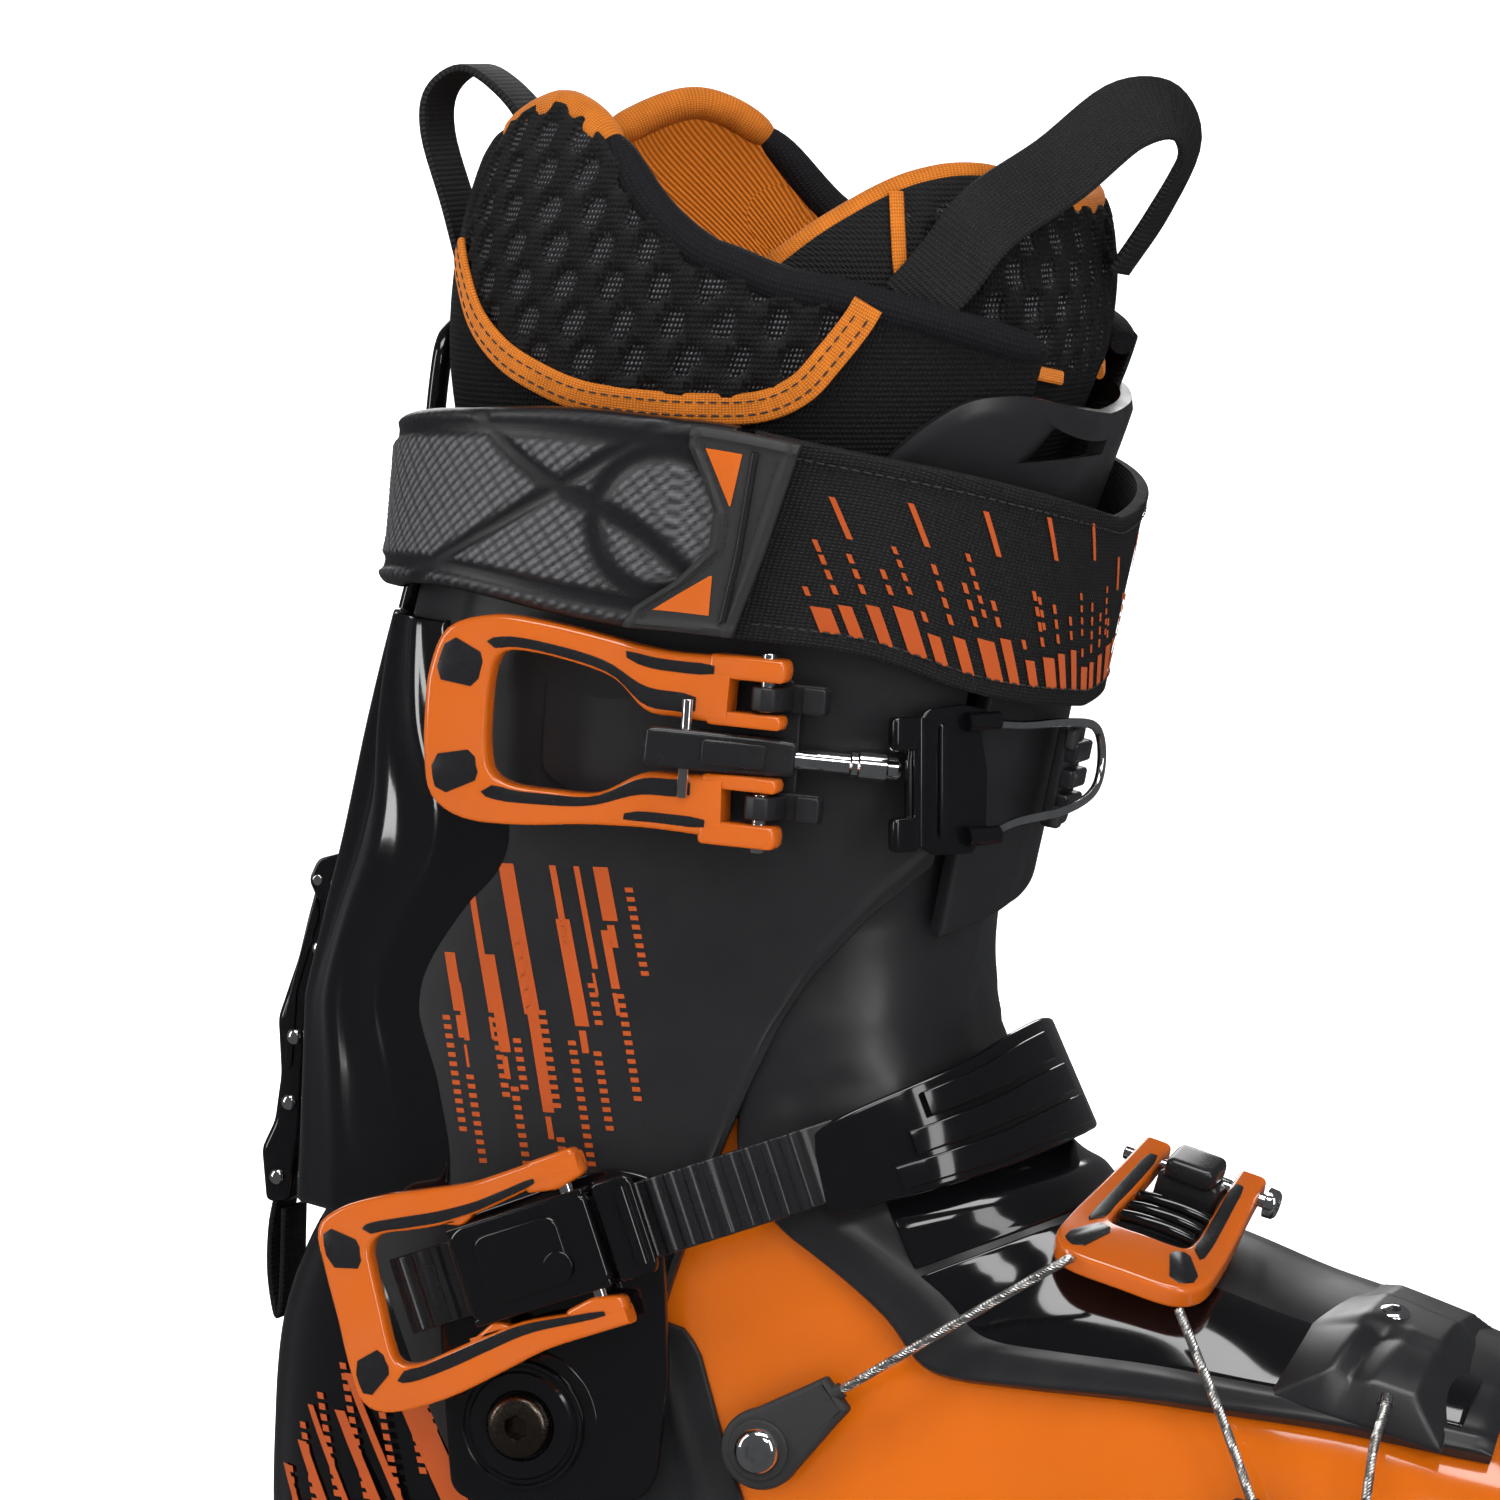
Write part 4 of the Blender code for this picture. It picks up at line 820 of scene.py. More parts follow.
def path_frames(path):
    """Each point of a path with two directions square to it, which turn as little as they can."""
    path = [Vector(p) for p in path]
    along = directions(path)
    side = along[0].orthogonal().normalized()
    frames = []
    for point, direction in zip(path, along):
        side = (side - direction * side.dot(direction)).normalized()
        frames.append((point, side, direction.cross(side)))
    return frames


def point_on(path, gone, distance):
    """The point of a path at a distance along it."""
    return Vector([float(np.interp(distance, gone, [point[k] for point in path])) for k in range(3)])


def cable_mesh(name, path, radius, pitch=4.2, strands=6):
    """A twisted wire rope: strands wound round a core."""
    strand = radius * 0.42
    gone = distances(path)
    total = float(gone[-1])
    count = max(int(total / pitch * 14), 8)
    fine = [point_on(path, gone, total * i / count) for i in range(count + 1)]
    frames = path_frames(fine)
    meshes = [tube_mesh(name, fine, radius * 0.5, 6)]
    for s in range(strands):
        turned_path = []
        for i, (centre, side, up) in enumerate(frames):
            turn = 2 * math.pi * (total * i / count / pitch + s / strands)
            turned_path.append(centre + (side * math.cos(turn) + up * math.sin(turn)) * (radius - strand))
        meshes.append(tube_mesh(name, turned_path, strand, 6))
    return joined(name, meshes)


def stitch_mesh(name, path, pitch, length, radius):
    """Short raised threads one after another along a path."""
    path = [Vector(p) for p in path]
    gone = distances(path)

    def swell(t):
        return radius * float(between(((0, 0.35), (0.25, 0.85), (0.5, 1.0), (0.75, 0.85), (1, 0.35)), t))

    meshes = []
    for i in range(int(gone[-1] / pitch)):
        start, end = point_on(path, gone, i * pitch), point_on(path, gone, i * pitch + length)
        line = [start.lerp(end, t) for t in (0.0, 0.18, 0.5, 0.82, 1.0)]
        meshes.append(tube_mesh(name, line, swell, 6))
    return joined(name, meshes)


def marks_mesh(name, marks, to_surface, thickness=0.12):
    """Printed marks: (x, z, width, height, slant) parallelograms on a surface, as thin closed skins."""
    meshes = []
    for x, z, width, height, slant in marks:
        rows = max(int(abs(height) / 3.0), 1) + 1
        grid = [[to_surface(x + slant * t + width * s, z + height * t) for s in np.linspace(0, 1, 3)]
                for t in np.linspace(0, 1, rows)]
        grid = np.array(grid, float)
        if np.isfinite(grid).all():
            meshes.append(skin_mesh(name, grid, thickness, roll=0.0))
    return joined(name, meshes)


def carve(mesh, cutter):
    """A mesh with another taken out of it."""
    part = bpy.data.objects.new("carved", mesh)
    tool = bpy.data.objects.new("tool", cutter)
    for made in (part, tool):
        bpy.context.scene.collection.objects.link(made)
    change = part.modifiers.new("cut", "BOOLEAN")
    change.object = tool
    change.solver = "EXACT"
    result = evaluated(part)
    bpy.data.objects.remove(tool, do_unlink=True)
    return result


def refined(node, look, body, width=0.4, name=None):
    """A CAD piece of plain shape with its edges rounded, standing for its node."""
    mesh = frame["nodes"][node].data.copy()
    part = bpy.data.objects.new(node + "_rounding", mesh)
    bpy.context.scene.collection.objects.link(part)
    shape = bmesh.new()
    shape.from_mesh(mesh)
    bmesh.ops.remove_doubles(shape, verts=shape.verts, dist=0.00001)
    bmesh.ops.dissolve_limit(shape, angle_limit=math.radians(3), verts=shape.verts, edges=shape.edges)
    shape.to_mesh(mesh)
    shape.free()
    bevel = part.modifiers.new("edges", "BEVEL")
    bevel.width = width * MM
    bevel.segments = 3
    bevel.limit_method = "ANGLE"
    bevel.angle_limit = math.radians(35)
    return add(name or node + "_fine", evaluated(part), look, body, (node,))


# ---------------------------------------------------------------- camera, light and floor


VIEW_AZIMUTH = math.radians(18.0)
VIEW_ELEVATION = math.radians(5.0)
VIEW_TARGET = Vector((31.5, 0.0, 217.0)) * MM
VIEW_DISTANCE = 1.735


def camera():
    """A long lens at the outer front side of the boot."""
    data = bpy.data.cameras.new("camera")
    data.lens = 200.0
    data.sensor_width = 36.0
    view = bpy.data.objects.new("camera", data)
    bpy.context.scene.collection.objects.link(view)
    direction = Vector((math.sin(VIEW_AZIMUTH) * math.cos(VIEW_ELEVATION),
                        -math.cos(VIEW_AZIMUTH) * math.cos(VIEW_ELEVATION), math.sin(VIEW_ELEVATION)))
    view.location = VIEW_TARGET + direction * VIEW_DISTANCE
    view.rotation_euler = direction.to_track_quat("Z", "Y").to_euler()
    bpy.context.scene.camera = view


def area_light(name, place, size, power, colour=(1.0, 1.0, 1.0)):
    """A soft box that faces the boot."""
    data = bpy.data.lights.new(name, "AREA")
    data.shape = "RECTANGLE"
    data.size, data.size_y = size
    data.energy = power
    data.color = colour
    light = bpy.data.objects.new(name, data)
    bpy.context.scene.collection.objects.link(light)
    light.location = place
    light.rotation_euler = (Vector(place) - Vector((0.05, 0.0, 0.17))).to_track_quat("Z", "Y").to_euler()


def studio():
    """A pale floor that sweeps up into a backdrop, a pale world and soft boxes above and on both sides."""
    world = bpy.data.worlds.new("studio")
    bpy.context.scene.world = world
    world.use_nodes = True
    ground = world.node_tree.nodes["Background"]
    ground.inputs["Color"].default_value = (0.90, 0.92, 0.95, 1.0)
    ground.inputs["Strength"].default_value = 0.09
    bpy.context.scene.view_settings.view_transform = "Standard"
    floor_shade = Shade("floor", (0.93, 0.93, 0.94), 0.9)
    floor_shade.spread(floor_shade.noise(floor_shade.space(), 60.0), 0.8, 0.95, "Roughness")
    floor_shade.shader.inputs["Emission Color"].default_value = (0.97, 0.97, 0.98, 1.0)
    floor_shade.shader.inputs["Emission Strength"].default_value = 0.74
    turns = np.linspace(0, 2 * math.pi, 65)
    radii = [(0.0, 0), (900.0, 0), (3200.0, 0)]
    radii += [(3200.0 + 900 * math.sin(a), 900 - 900 * math.cos(a)) for a in np.linspace(0.15, math.pi / 2,
                                                                                         8)]
    radii += [(4100.0, 3200.0)]
    points = [(r * math.cos(t), r * math.sin(t), z - 0.2) for r, z in radii for t in turns]
    size = len(turns)
    faces = [(i * size + j, i * size + j + 1, (i + 1) * size + j + 1, (i + 1) * size + j)
             for i in range(len(radii) - 1) for j in range(size - 1)]
    mesh = make_mesh("floor", np.array(points), faces)
    mesh.materials.append(floor_shade.material)
    floor = bpy.data.objects.new("floor", mesh)
    bpy.context.scene.collection.objects.link(floor)
    floor.visible_glossy = False
    area_light("top_box", (0.30, -0.45, 1.4), (1.2, 0.45), 13)
    area_light("left_box", (-1.2, -0.85, 0.7), (0.22, 1.2), 7)
    area_light("right_box", (1.25, -0.8, 0.6), (0.3, 1.1), 5)
    area_light("front_box", (0.75, -1.25, 1.05), (0.5, 0.35), 4)
    area_light("rear_box", (-0.5, 1.3, 1.0), (1.2, 0.8), 12)


# ---------------------------------------------------------------- lower shell and sole


SHELL_WALL = 3.6
OPEN_HALF = 30.0
OPEN_UNTIL = 11.0
SHELL_AWAY = (70.0, 0.0, 60.0)


def shell_points():
    """The grid of the lower shell's outer face, with a rounded toe."""
    places = np.concatenate((np.linspace(1, 11, 71), np.linspace(11, 17, 55)[1:]))
    degrees = np.linspace(0, 360, 145)[:-1]
    grid = foot(places[:, None], degrees[None, :])
    last = grid[-1]
    middle = last.mean(axis=0)
    nose = []
    for turn in np.linspace(0, math.pi / 2, 9)[1:]:
        ring = middle + (last - middle) * max(math.cos(turn), 0.01)
        ring[:, 0] += 3.0 * math.sin(turn)
        nose.append(ring)
    return places, degrees, np.concatenate((grid, np.array(nose)))


def lower_shell():
    """The orange shell, open at the ankle and under the tongue."""
    places, degrees, grid = shell_points()
    rows, columns = len(grid) - 1, len(degrees)
    keep = np.ones((rows, columns), bool)
    middle = degrees + 180.0 / columns
    for i in range(rows):
        place = places[i] if i < len(places) else 17.0
        if place < OPEN_UNTIL - 0.01:
            keep[i] = (middle > OPEN_HALF) & (middle < 360 - OPEN_HALF)
    mesh = skin_mesh("shell", grid, SHELL_WALL, closed=True, roll=0.0, away=SHELL_AWAY, keep=keep)
    add("shell", mesh, "shell_orange", "lower", ("lower_shell",))
    return grid


class Caster:
    """Finds the shell's surface along level lines towards its middle."""

    def __init__(self, grid):
        rows, columns = grid.shape[:2]
        corners = [tuple(p) for p in grid.reshape(-1, 3)]
        faces = []
        for i in range(rows - 1):
            for j in range(columns):
                k = (j + 1) % columns
                faces.append((i * columns + j, i * columns + k, (i + 1) * columns + k, (i + 1) * columns + j))
        self.tree = BVHTree.FromPolygons(corners, faces)

    def side(self, x, z, offset=0.0, side=-1):
        """The point on the shell's side at (x, z); side is -1 for the outer one."""
        hit, normal, _, _ = self.tree.ray_cast(Vector((x, side * 200, z)), Vector((0, -side, 0)))
        if hit is None:
            return (math.nan,) * 3
        if normal.y * side < 0:
            normal = -normal
        return tuple(hit + normal * offset)

    def round(self, degrees, z, offset=0.0):
        """The point on the heel at a height, seen from an angle round the ankle's axis."""
        turn = math.radians(degrees)
        outward = Vector((math.cos(turn), -math.sin(turn), 0.0))
        hit, normal, _, _ = self.tree.ray_cast(Vector((0, 0, z)) + outward * 250, -outward)
        if hit is None:
            return (math.nan,) * 3
        if normal.dot(outward) < 0:
            normal = -normal
        return tuple(hit + normal * offset)


HEEL_RAISE = 1.5
PANEL_FRONT = ((20, 53), (45, 50), (68, 45), (84, 40), (98, 36), (108, 28))
HEEL_SPLIT_X = 3.0


def heel_top(degrees):
    """Height of the heel covers' upper edge at an angle."""
    folded = 180 - abs(180 - degrees)
    return float(smooth_between(((40, 92), (60, 104), (90, 108), (120, 122), (150, 137), (180, 139)), folded))


def heel_covers(caster):
    """The black gloss heel and the matte side panels, raised over the orange shell."""
    def angle_at(x):
        return math.degrees(math.atan2(45.5, x))

    def rows_for(first, last, columns, rows):
        grid = []
        for v in steps(0.0, 1.0, rows):
            line = []
            for u in steps(0.0, 1.0, columns):
                z_guess = SOLE_Z + 1.0 + v * 84
                degrees = first(z_guess) + (last(z_guess) - first(z_guess)) * u
                z = SOLE_Z + 1.0 + v * (heel_top(degrees) - SOLE_Z - 1.0)
                degrees = first(z) + (last(z) - first(z)) * u
                line.append(caster.round(degrees, z, 0.15))
            grid.append(line)
        return np.array(grid)

    def panel_angle(z):
        return angle_at(float(between(PANEL_FRONT, z)))

    def split_angle(z):
        return angle_at(HEEL_SPLIT_X)

    grid = rows_for(split_angle, lambda z: 360 - split_angle(z), 110, 46)
    u, v = surface_places(grid)
    arc = np.abs(u / u[:, -1:] - 0.5) * 2
    ridge = 1.3 * np.exp(-((arc - 0.16 - 0.10 * (v / v[-1])) / 0.035) ** 2)
    step = 0.9 / (1 + np.exp((arc - 0.60 + 0.12 * (v / v[-1])) * 60))
    mesh = skin_mesh("heel", grid, 0.1, HEEL_RAISE - 0.9 + ridge + step, 0.8, away=(0.0, 0.0))
    add("heel_cover", mesh, "gloss_black", "lower")
    for name, side in (("lateral", 0), ("medial", 1)):
        first, last = (panel_angle, split_angle) if not side else (lambda z: 360 - split_angle(z),
                                                                   lambda z: 360 - panel_angle(z))
        grid = rows_for(first, last, 34, 40)
        u, v = surface_places(grid)
        along = u / u[:, -1:]
        along = 1 - along if side else along
        height = v / v[-1]
        rib = 0.9 * np.exp(-((along - 0.30 - 0.25 * (height - 0.9)) / 0.05) ** 2) * (height > 0.35)
        mesh = skin_mesh("side_panel", grid, 0.1, HEEL_RAISE - 0.3 + rib, 0.8, away=(0.0, 0.0))
        add("side_panel_" + name, mesh, "matte_black", "lower")


def dash_columns(starts, slope, pitch=3.4, width=1.5, length=2.3):
    """Marks in short dashes down slanted lines: each start is (x, z, how many)."""
    marks = []
    for x, z, count in starts:
        for i in range(count):
            top = z - i * pitch
            marks.append((x + slope * (z - top), top - length, width, length, -slope * length))
    return marks


def heel_print(caster):
    """Orange slanted lines and dashes on the heel."""
    marks = dash_columns([(-45, 90, 20), (-51, 83, 18), (-56, 76, 16), (-60, 66, 12), (-38, 94, 16),
                          (-30, 90, 10), (-24, 84, 8), (-12, 84, 9), (-63, 56, 8)], 0.22, 2.2, 1.6, 1.3)
    for x, z, width, height in ((-14, 50, 6.5, 36), (-24, 48, 1.8, 40), (-29.5, 46, 2.6, 34),
                                (-36, 44, 1.6, 36),
                                (-42, 42, 2.6, 30), (-49, 40, 1.8, 26), (-6, 60, 1.6, 24), (-1, 66, 1.2, 16)):
        marks.append((x, z, width, height, -0.5 * height))
    mesh = marks_mesh("heel_print", marks, lambda x, z: caster.side(x, z, HEEL_RAISE + 0.7))
    add("heel_print", mesh, "print_orange", "lower")


SOLE_EDGE = ((-69, 0), (-67, 15), (-59, 27), (-42, 33), (0, 34.5), (40, 34), (80, 38), (120, 43), (155, 45.5),
             (185, 43.5), (208, 35), (223, 22), (231, 9), (233, 0))


def sole_half(x, inset=0.0):
    """The sole's half width at x."""
    return np.maximum(smooth_between(SOLE_EDGE, x) - inset, 0.3)


def sole_ring(start, end, inset=0.0, count=24):
    """The closed outline of the sole between two places."""
    t = (1 - np.cos(np.linspace(0, math.pi, count))) / 2
    xs = start + inset + (end - start - 2 * inset) * t
    side = [(x, -float(sole_half(x, inset))) for x in xs]
    return side + [(x, -y) for x, y in reversed(side)]


def tread(node, name):
    """A rubber sole: a rim over separate lugs, in three rows across the foot."""
    low, high = node_box(node)
    start, end = low.x, high.x
    top = high.z
    meshes = [plate_mesh(name, sole_ring(start, end), 12.6, axes((0, 0, top - 6.3), (1, 0, 0), (0, 1, 0)),
                         1.0),
              plate_mesh(name, sole_ring(start + 1, end - 1, 1.6), 3.0,
                         axes((0, 0, top - 13.6), (1, 0, 0), (0, 1, 0)), 0.6)]
    count = max(int((end - start) / 17.0), 2)
    pitch = (end - start - 6.0) / count
    for i in range(count):
        x0 = start + 3.0 + i * pitch
        x1 = x0 + pitch - 4.2
        xs = np.linspace(x0, x1, 4)
        for lane_low, lane_high in ((-1.0, -0.40), (-0.28, 0.28), (0.40, 1.0)):
            lean = 2.4 * (1 if lane_low < -0.5 else -1 if lane_low > 0 else 0)
            lower_side = [(x + lean, float(sole_half(x, 1.2)) * lane_low) for x in xs]
            upper_side = [(x + lean * 0.2, float(sole_half(x, 1.2)) * lane_high) for x in reversed(xs)]
            if abs(lower_side[0][1] - upper_side[-1][1]) < 4:
                continue
            meshes.append(plate_mesh(name, round_corners(lower_side + upper_side, 2.0, 3), 7.6,
                                     axes((0, 0, 3.8), (1, 0, 0), (0, 1, 0)), 0.7))
    add(name, joined(name, meshes), "rubber", "lower", (node,))


def sole():
    """Both treads, the steel fittings and the board inside."""
    tread("heel_tread", "heel_tread_fine")
    tread("toe_tread", "toe_tread_fine")
    refined("toe_fitting", "steel", "lower", 0.6)
    refined("heel_fitting", "steel", "lower", 0.7)
    refined("boot_board", "board", "lower", 0.8)


def liner_foot():
    """The knitted foot of the liner inside the shell."""
    places = np.linspace(0.8, 14.6, 70)
    degrees = np.linspace(0, 360, 97)[:-1]
    grid = foot(places[:, None], degrees[None, :], -SHELL_WALL - 3.4, SOLE_Z + 12)
    last = grid[-1]
    middle = last.mean(axis=0)
    cap = [middle + (last - middle) * max(math.cos(t), 0.01) + np.array((5 * math.sin(t), 0, 0))
           for t in np.linspace(0, math.pi / 2, 7)[1:]]
    grid = np.concatenate((grid, np.array(cap)))
    u, v = surface_places(grid)
    quilt = 0.5 * np.abs(np.sin(v / 9.0)) * np.abs(np.sin(u / 9.0))
    mesh = skin_mesh("liner_foot", grid, 4.6, quilt, 0.0, closed=True, away=SHELL_AWAY)
    piece = add("liner_foot_fine", mesh, "jersey", "lower", ("liner_foot",))


# ---------------------------------------------------------------- tongue


TONGUE_WALL = 3.4
FOOT_TONGUE_OFFSET = 4.0
TONGUE_EDGE = ((0, 78), (2, 76), (3.5, 71), (5, 64), (6.5, 61), (8, 62), (9.5, 60), (11, 55), (12.2, 50),
               (13.6, 44))
TONGUE_TOP = ((0, 288), (20, 290.5), (38, 293), (50, 291), (60, 283), (68, 272))


def tongue_offset(z):
    """How far the tongue's outer face stands off the leg above the ankle."""
    return smooth_between(((150, -2.0), (175, -4.8), (262, -4.8), (276, -2.6), (290, -0.8), (300, -0.6)), z)


def tongue():
    """One skin from the toes to the shin."""
    places = np.concatenate((np.linspace(13.6, 9.0, 34), np.linspace(9.0, 0.0, 44)[1:]))
    width = steps(-1.0, 1.0, 72)
    lower = []
    for place in places:
        half = float(smooth_between(TONGUE_EDGE, place))
        lower.append(foot(place, width * half, FOOT_TONGUE_OFFSET))
    top = []
    for v in np.linspace(0, 1, 62)[1:]:
        degrees = width * float(between(((0, 76), (0.15, 76), (0.5, 68), (1, 66)), v))
        low = lower[-1][:, 2]
        high = smooth_between(TONGUE_TOP, np.abs(degrees))
        z = low + (high - low) * v
        mix = min(v * 4.0, 1.0)
        mix = mix * mix * (3 - 2 * mix)
        leg_line = leg(z, degrees, tongue_offset(z))
        line = lower[-1] + (leg_line - lower[-1]) * (mix + mix * (1 - mix))
        line[:, 2] = z
        top.append(line)
    grid = np.concatenate((np.array(lower), np.array(top)))
    z = grid[..., 2]
    x = grid[..., 0]
    t = np.abs(width)[None, :]
    band = 1 / (1 + np.exp((t - 0.80) * 30))
    fold = 0.0
    for level, depth in ((168, 0.35), (191, 0.3)):
        fold = fold - depth * np.exp(-((z - level + 10 * t) / 2.4) ** 2) * (x < 100)
    ridge = np.clip(1 - np.abs(t) / 0.42, 0, 1) * np.clip((x - 112) / 20, 0, 1) * 2.6
    rim = 0.8 * np.exp(-((t - 0.90) / 0.035) ** 2) * (z < 150)
    relief = fold + ridge + rim + 0.5 * band * (z < 150)
    mesh = skin_mesh("tongue", grid, TONGUE_WALL, relief, 0.9, away=(20.0, 0.0, 60.0))
    cutter = plate_mesh("window", [(99.0, 279.5), (104.5, 287.5), (110.5, 280)], 60.0,
                        axes((0, -30, 0), (1, 0, 0), (0, 0, 1)), 0.2)
    mesh = carve(mesh, cutter)
    add("tongue", mesh, "tongue_black", ("lower", "cuff", (0.084, 0, 0.158), (0.088, 0, 0.196)),
        ("lower_tongue", "upper_tongue"))


def tongue_gloss():
    """The glossy panels along both sides of the tongue's lower part, and the collar round the ankle."""
    for name, sign in (("lateral", 1), ("medial", -1)):
        places = steps(13.2, 5.4, 66)
        width = steps(0.36, 0.86, 22)
        rows = []
        for place in places:
            half = float(smooth_between(TONGUE_EDGE, place))
            rows.append(foot(place, sign * width * half, FOOT_TONGUE_OFFSET + 0.5))
        grid = np.array(rows)
        u, v = surface_places(grid)
        s = v / v[-1]
        swell = 1.3 * np.sin(math.pi * np.clip(u / u[:, -1:], 0, 1)) * (0.6 + 0.4 * np.cos(s * 9))
        mesh = skin_mesh("tongue_gloss", grid, 0.6, swell, 0.8, away=(80.0, 0.0, 40.0))
        add("tongue_gloss_" + name, mesh, "gloss_black", "lower")
    width = steps(-1.0, 1.0, 70)
    rows = [foot(place, width * 54, FOOT_TONGUE_OFFSET + 0.6) for place in steps(5.2, 1.2, 26)]
    grid = np.array(rows)
    u, v = surface_places(grid)
    crest = 1.2 * np.exp(-((v / v[-1] - 0.25) / 0.12) ** 2)
    mesh = skin_mesh("tongue_collar", grid, 0.6, 0.4 + crest, 0.9, away=(60.0, 0.0, 60.0))
    add("tongue_collar", mesh, "gloss_black", "lower")


# ---------------------------------------------------------------- cuff


CUFF_WALL = 3.4
CUFF_TOP = 262.0
CUFF_LOWER_EDGE = ((82, 198), (70, 187), (58, 174), (47, 154), (40, 138), (30, 112), (19, 76), (10, 65),
                   (0, 62.5), (-10, 65), (-19, 74), (-31, 100), (-41, 122), (-58, 144), (-62, 148))


def cuff_low(degrees):
    """Height of the cuff's lower edge at angles round the leg."""
    folded = np.where(degrees <= 180, degrees, 360 - degrees)
    knots = sorted((float(leg_angle(x, z)), z) for x, z in CUFF_LOWER_EDGE)
    side = between(knots, folded)
    flap = smooth_between(((326, knots[0][1]), (340, 193), (360, 187), (388, 182)), degrees)
    return np.where(degrees > 326, flap, side)


def smooth_low(degrees):
    """The cuff's lower edge with its corners eased."""
    spots = np.asarray(degrees, float)[:, None] + np.linspace(-1.6, 1.6, 9)[None, :]
    return cuff_low(np.clip(spots, 34, 388)).mean(axis=1)


def cuff():
    """The matte cuff wrapped round the leg, with its inner flap past the front."""
    degrees = np.concatenate((steps(34, 180, 110)[:-1], np.linspace(180, 326, 92)[:-1],
                              steps(326, 388, 46)[4:]))
    grid = leg_grid(smooth_low, CUFF_TOP, degrees, 64)
    z = grid[..., 2]
    x = grid[..., 0]
    turn = np.broadcast_to(degrees, z.shape)
    lateral = (turn < 180)
    panel_edge = smooth_between(((63, 96), (127, 106), (160, 116), (192, 121), (240, 126)), z)
    step = -0.8 / (1 + np.exp(-(turn - panel_edge) * 1.6)) * lateral
    step = step - 0.8 / (1 + np.exp((turn - (360 - panel_edge)) * 1.6)) * (~lateral)
    hollow = -1.1 * np.exp(-(((x - 22) / 34) ** 4 + ((z - 223) / 13) ** 4)) * lateral
    rim = 0.5 * np.exp(-((z - smooth_low(degrees)[None, :] - 4.5) / 1.4) ** 2) * (turn < 100)
    mesh = skin_mesh("cuff", grid, CUFF_WALL, step + hollow + rim, 1.0)
    add("cuff_fine", mesh, "matte_black", "cuff", ("cuff_shell",))


SPINE_EDGE = ((122, 108), (135, 107), (150, 110), (172, 116), (186, 111), (197, 105), (207, 106), (225, 120),
              (246, 132))


def spine():
    """The glossy spine up the back, with ridges that run together downwards, and the hang loop above it."""
    z = steps(122.0, 246.0, 70)[:, None]
    edge = smooth_between(SPINE_EDGE, z)
    t = steps(-1.0, 1.0, 96)[None, :]
    degrees = 180 + t * (180 - edge)
    side = np.abs(t) * np.ones_like(z)
    height = (z - 122) / 124 * np.ones_like(t)
    relief = 1.9 * (1 - side ** 4)
    for place, amount, width in ((0.30, 1.5, 0.05), (0.55, 1.9, 0.06), (0.78, 1.2, 0.05)):
        crest = np.exp(-((side - place - 0.10 * (1 - height)) / width) ** 2)
        relief = relief + amount * crest * (0.4 + 0.6 * height)
    relief = relief - 2.0 * np.exp(-((side - 0.42) / 0.05) ** 2) * np.clip((height - 0.3) * 2, 0, 1)
    grid = leg(z, degrees, 0.3)
    mesh = skin_mesh("spine", grid, 0.2, relief, 1.2)
    add("spine_fine", mesh, "gloss_black", "cuff", ("rear_spine",))
    half_loop = ((246, 9.5), (262, 10.0), (280, 10.5), (294, 10.0), (302, 7.0))
    knots = half_loop + ((305.5, 0.0),) + tuple((height, -turn) for height, turn in reversed(half_loop))
    path = flow([tuple(leg(height, 180 + turn, 1.6)) for height, turn in knots], 6)
    backward = Vector((-1, 0, 0.1)).normalized()
    ring = []
    for centre, along in zip(path, directions(path)):
        across = backward.cross(along).normalized()
        ring.append((centre, across, along.cross(across).normalized(), 2.6, 1.7, 1.5))
    loop = joined("loop", [sweep_mesh("loop", ring)])
    add("rear_loop_fine", loop, "gloss_black", "cuff", ("rear_loop",))


def rivet(centre, direction, radius, height=0.9):
    """A low domed head."""
    rings = [(radius * math.cos(t), height * math.sin(t)) for t in np.linspace(math.pi / 2 - 0.02, 0, 6)]
    return lathe_mesh("rivet", rings + [(radius, -1.0)], centre, direction, 20)


def cuff_print():
    """Orange slanted stripes and dashes on the cuff's outer side."""
    def on_cuff(x, z):
        return leg(z, leg_angle(x, z), 0.10)

    marks = []
    slope = -0.17
    for x, top, bottom, width in ((-17, 178, 166, 2.4), (-14.5, 172, 160, 1.2), (-9, 190, 166, 1.4),
                                  (-6.5, 178, 158, 2.4),
                                  (-1, 197, 166, 3.4), (3.0, 182, 146, 2.4), (8, 197, 180, 1.4),
                                  (10, 186, 164, 3.0),
                                  (14, 197, 176, 1.2), (16.5, 197, 186, 3.2), (18, 184, 172, 1.8)):
        marks.append((x, bottom, width, top - bottom, slope * (top - bottom)))
        marks.append((x + width * 0.5, bottom - 5.5, width * 0.5, 4.6, slope * 4.6))
    for x, z, count in ((-19.5, 164, 13), (-14, 152, 10), (-8.5, 164, 9), (-4, 150, 9), (2.0, 166, 11),
                        (6.0, 140, 8),
                        (8.5, 160, 14), (14, 158, 9), (19, 170, 12), (21.5, 192, 10), (-3.5, 160, 6),
                        (13, 172, 5)):
        for k in range(count):
            marks.append((x - slope * 1.9 * k, z - 1.9 * k, 1.7, 0.95, slope * 0.95))
    mesh = marks_mesh("cuff_print", marks, on_cuff)
    add("cuff_print", mesh, "print_orange", "cuff")


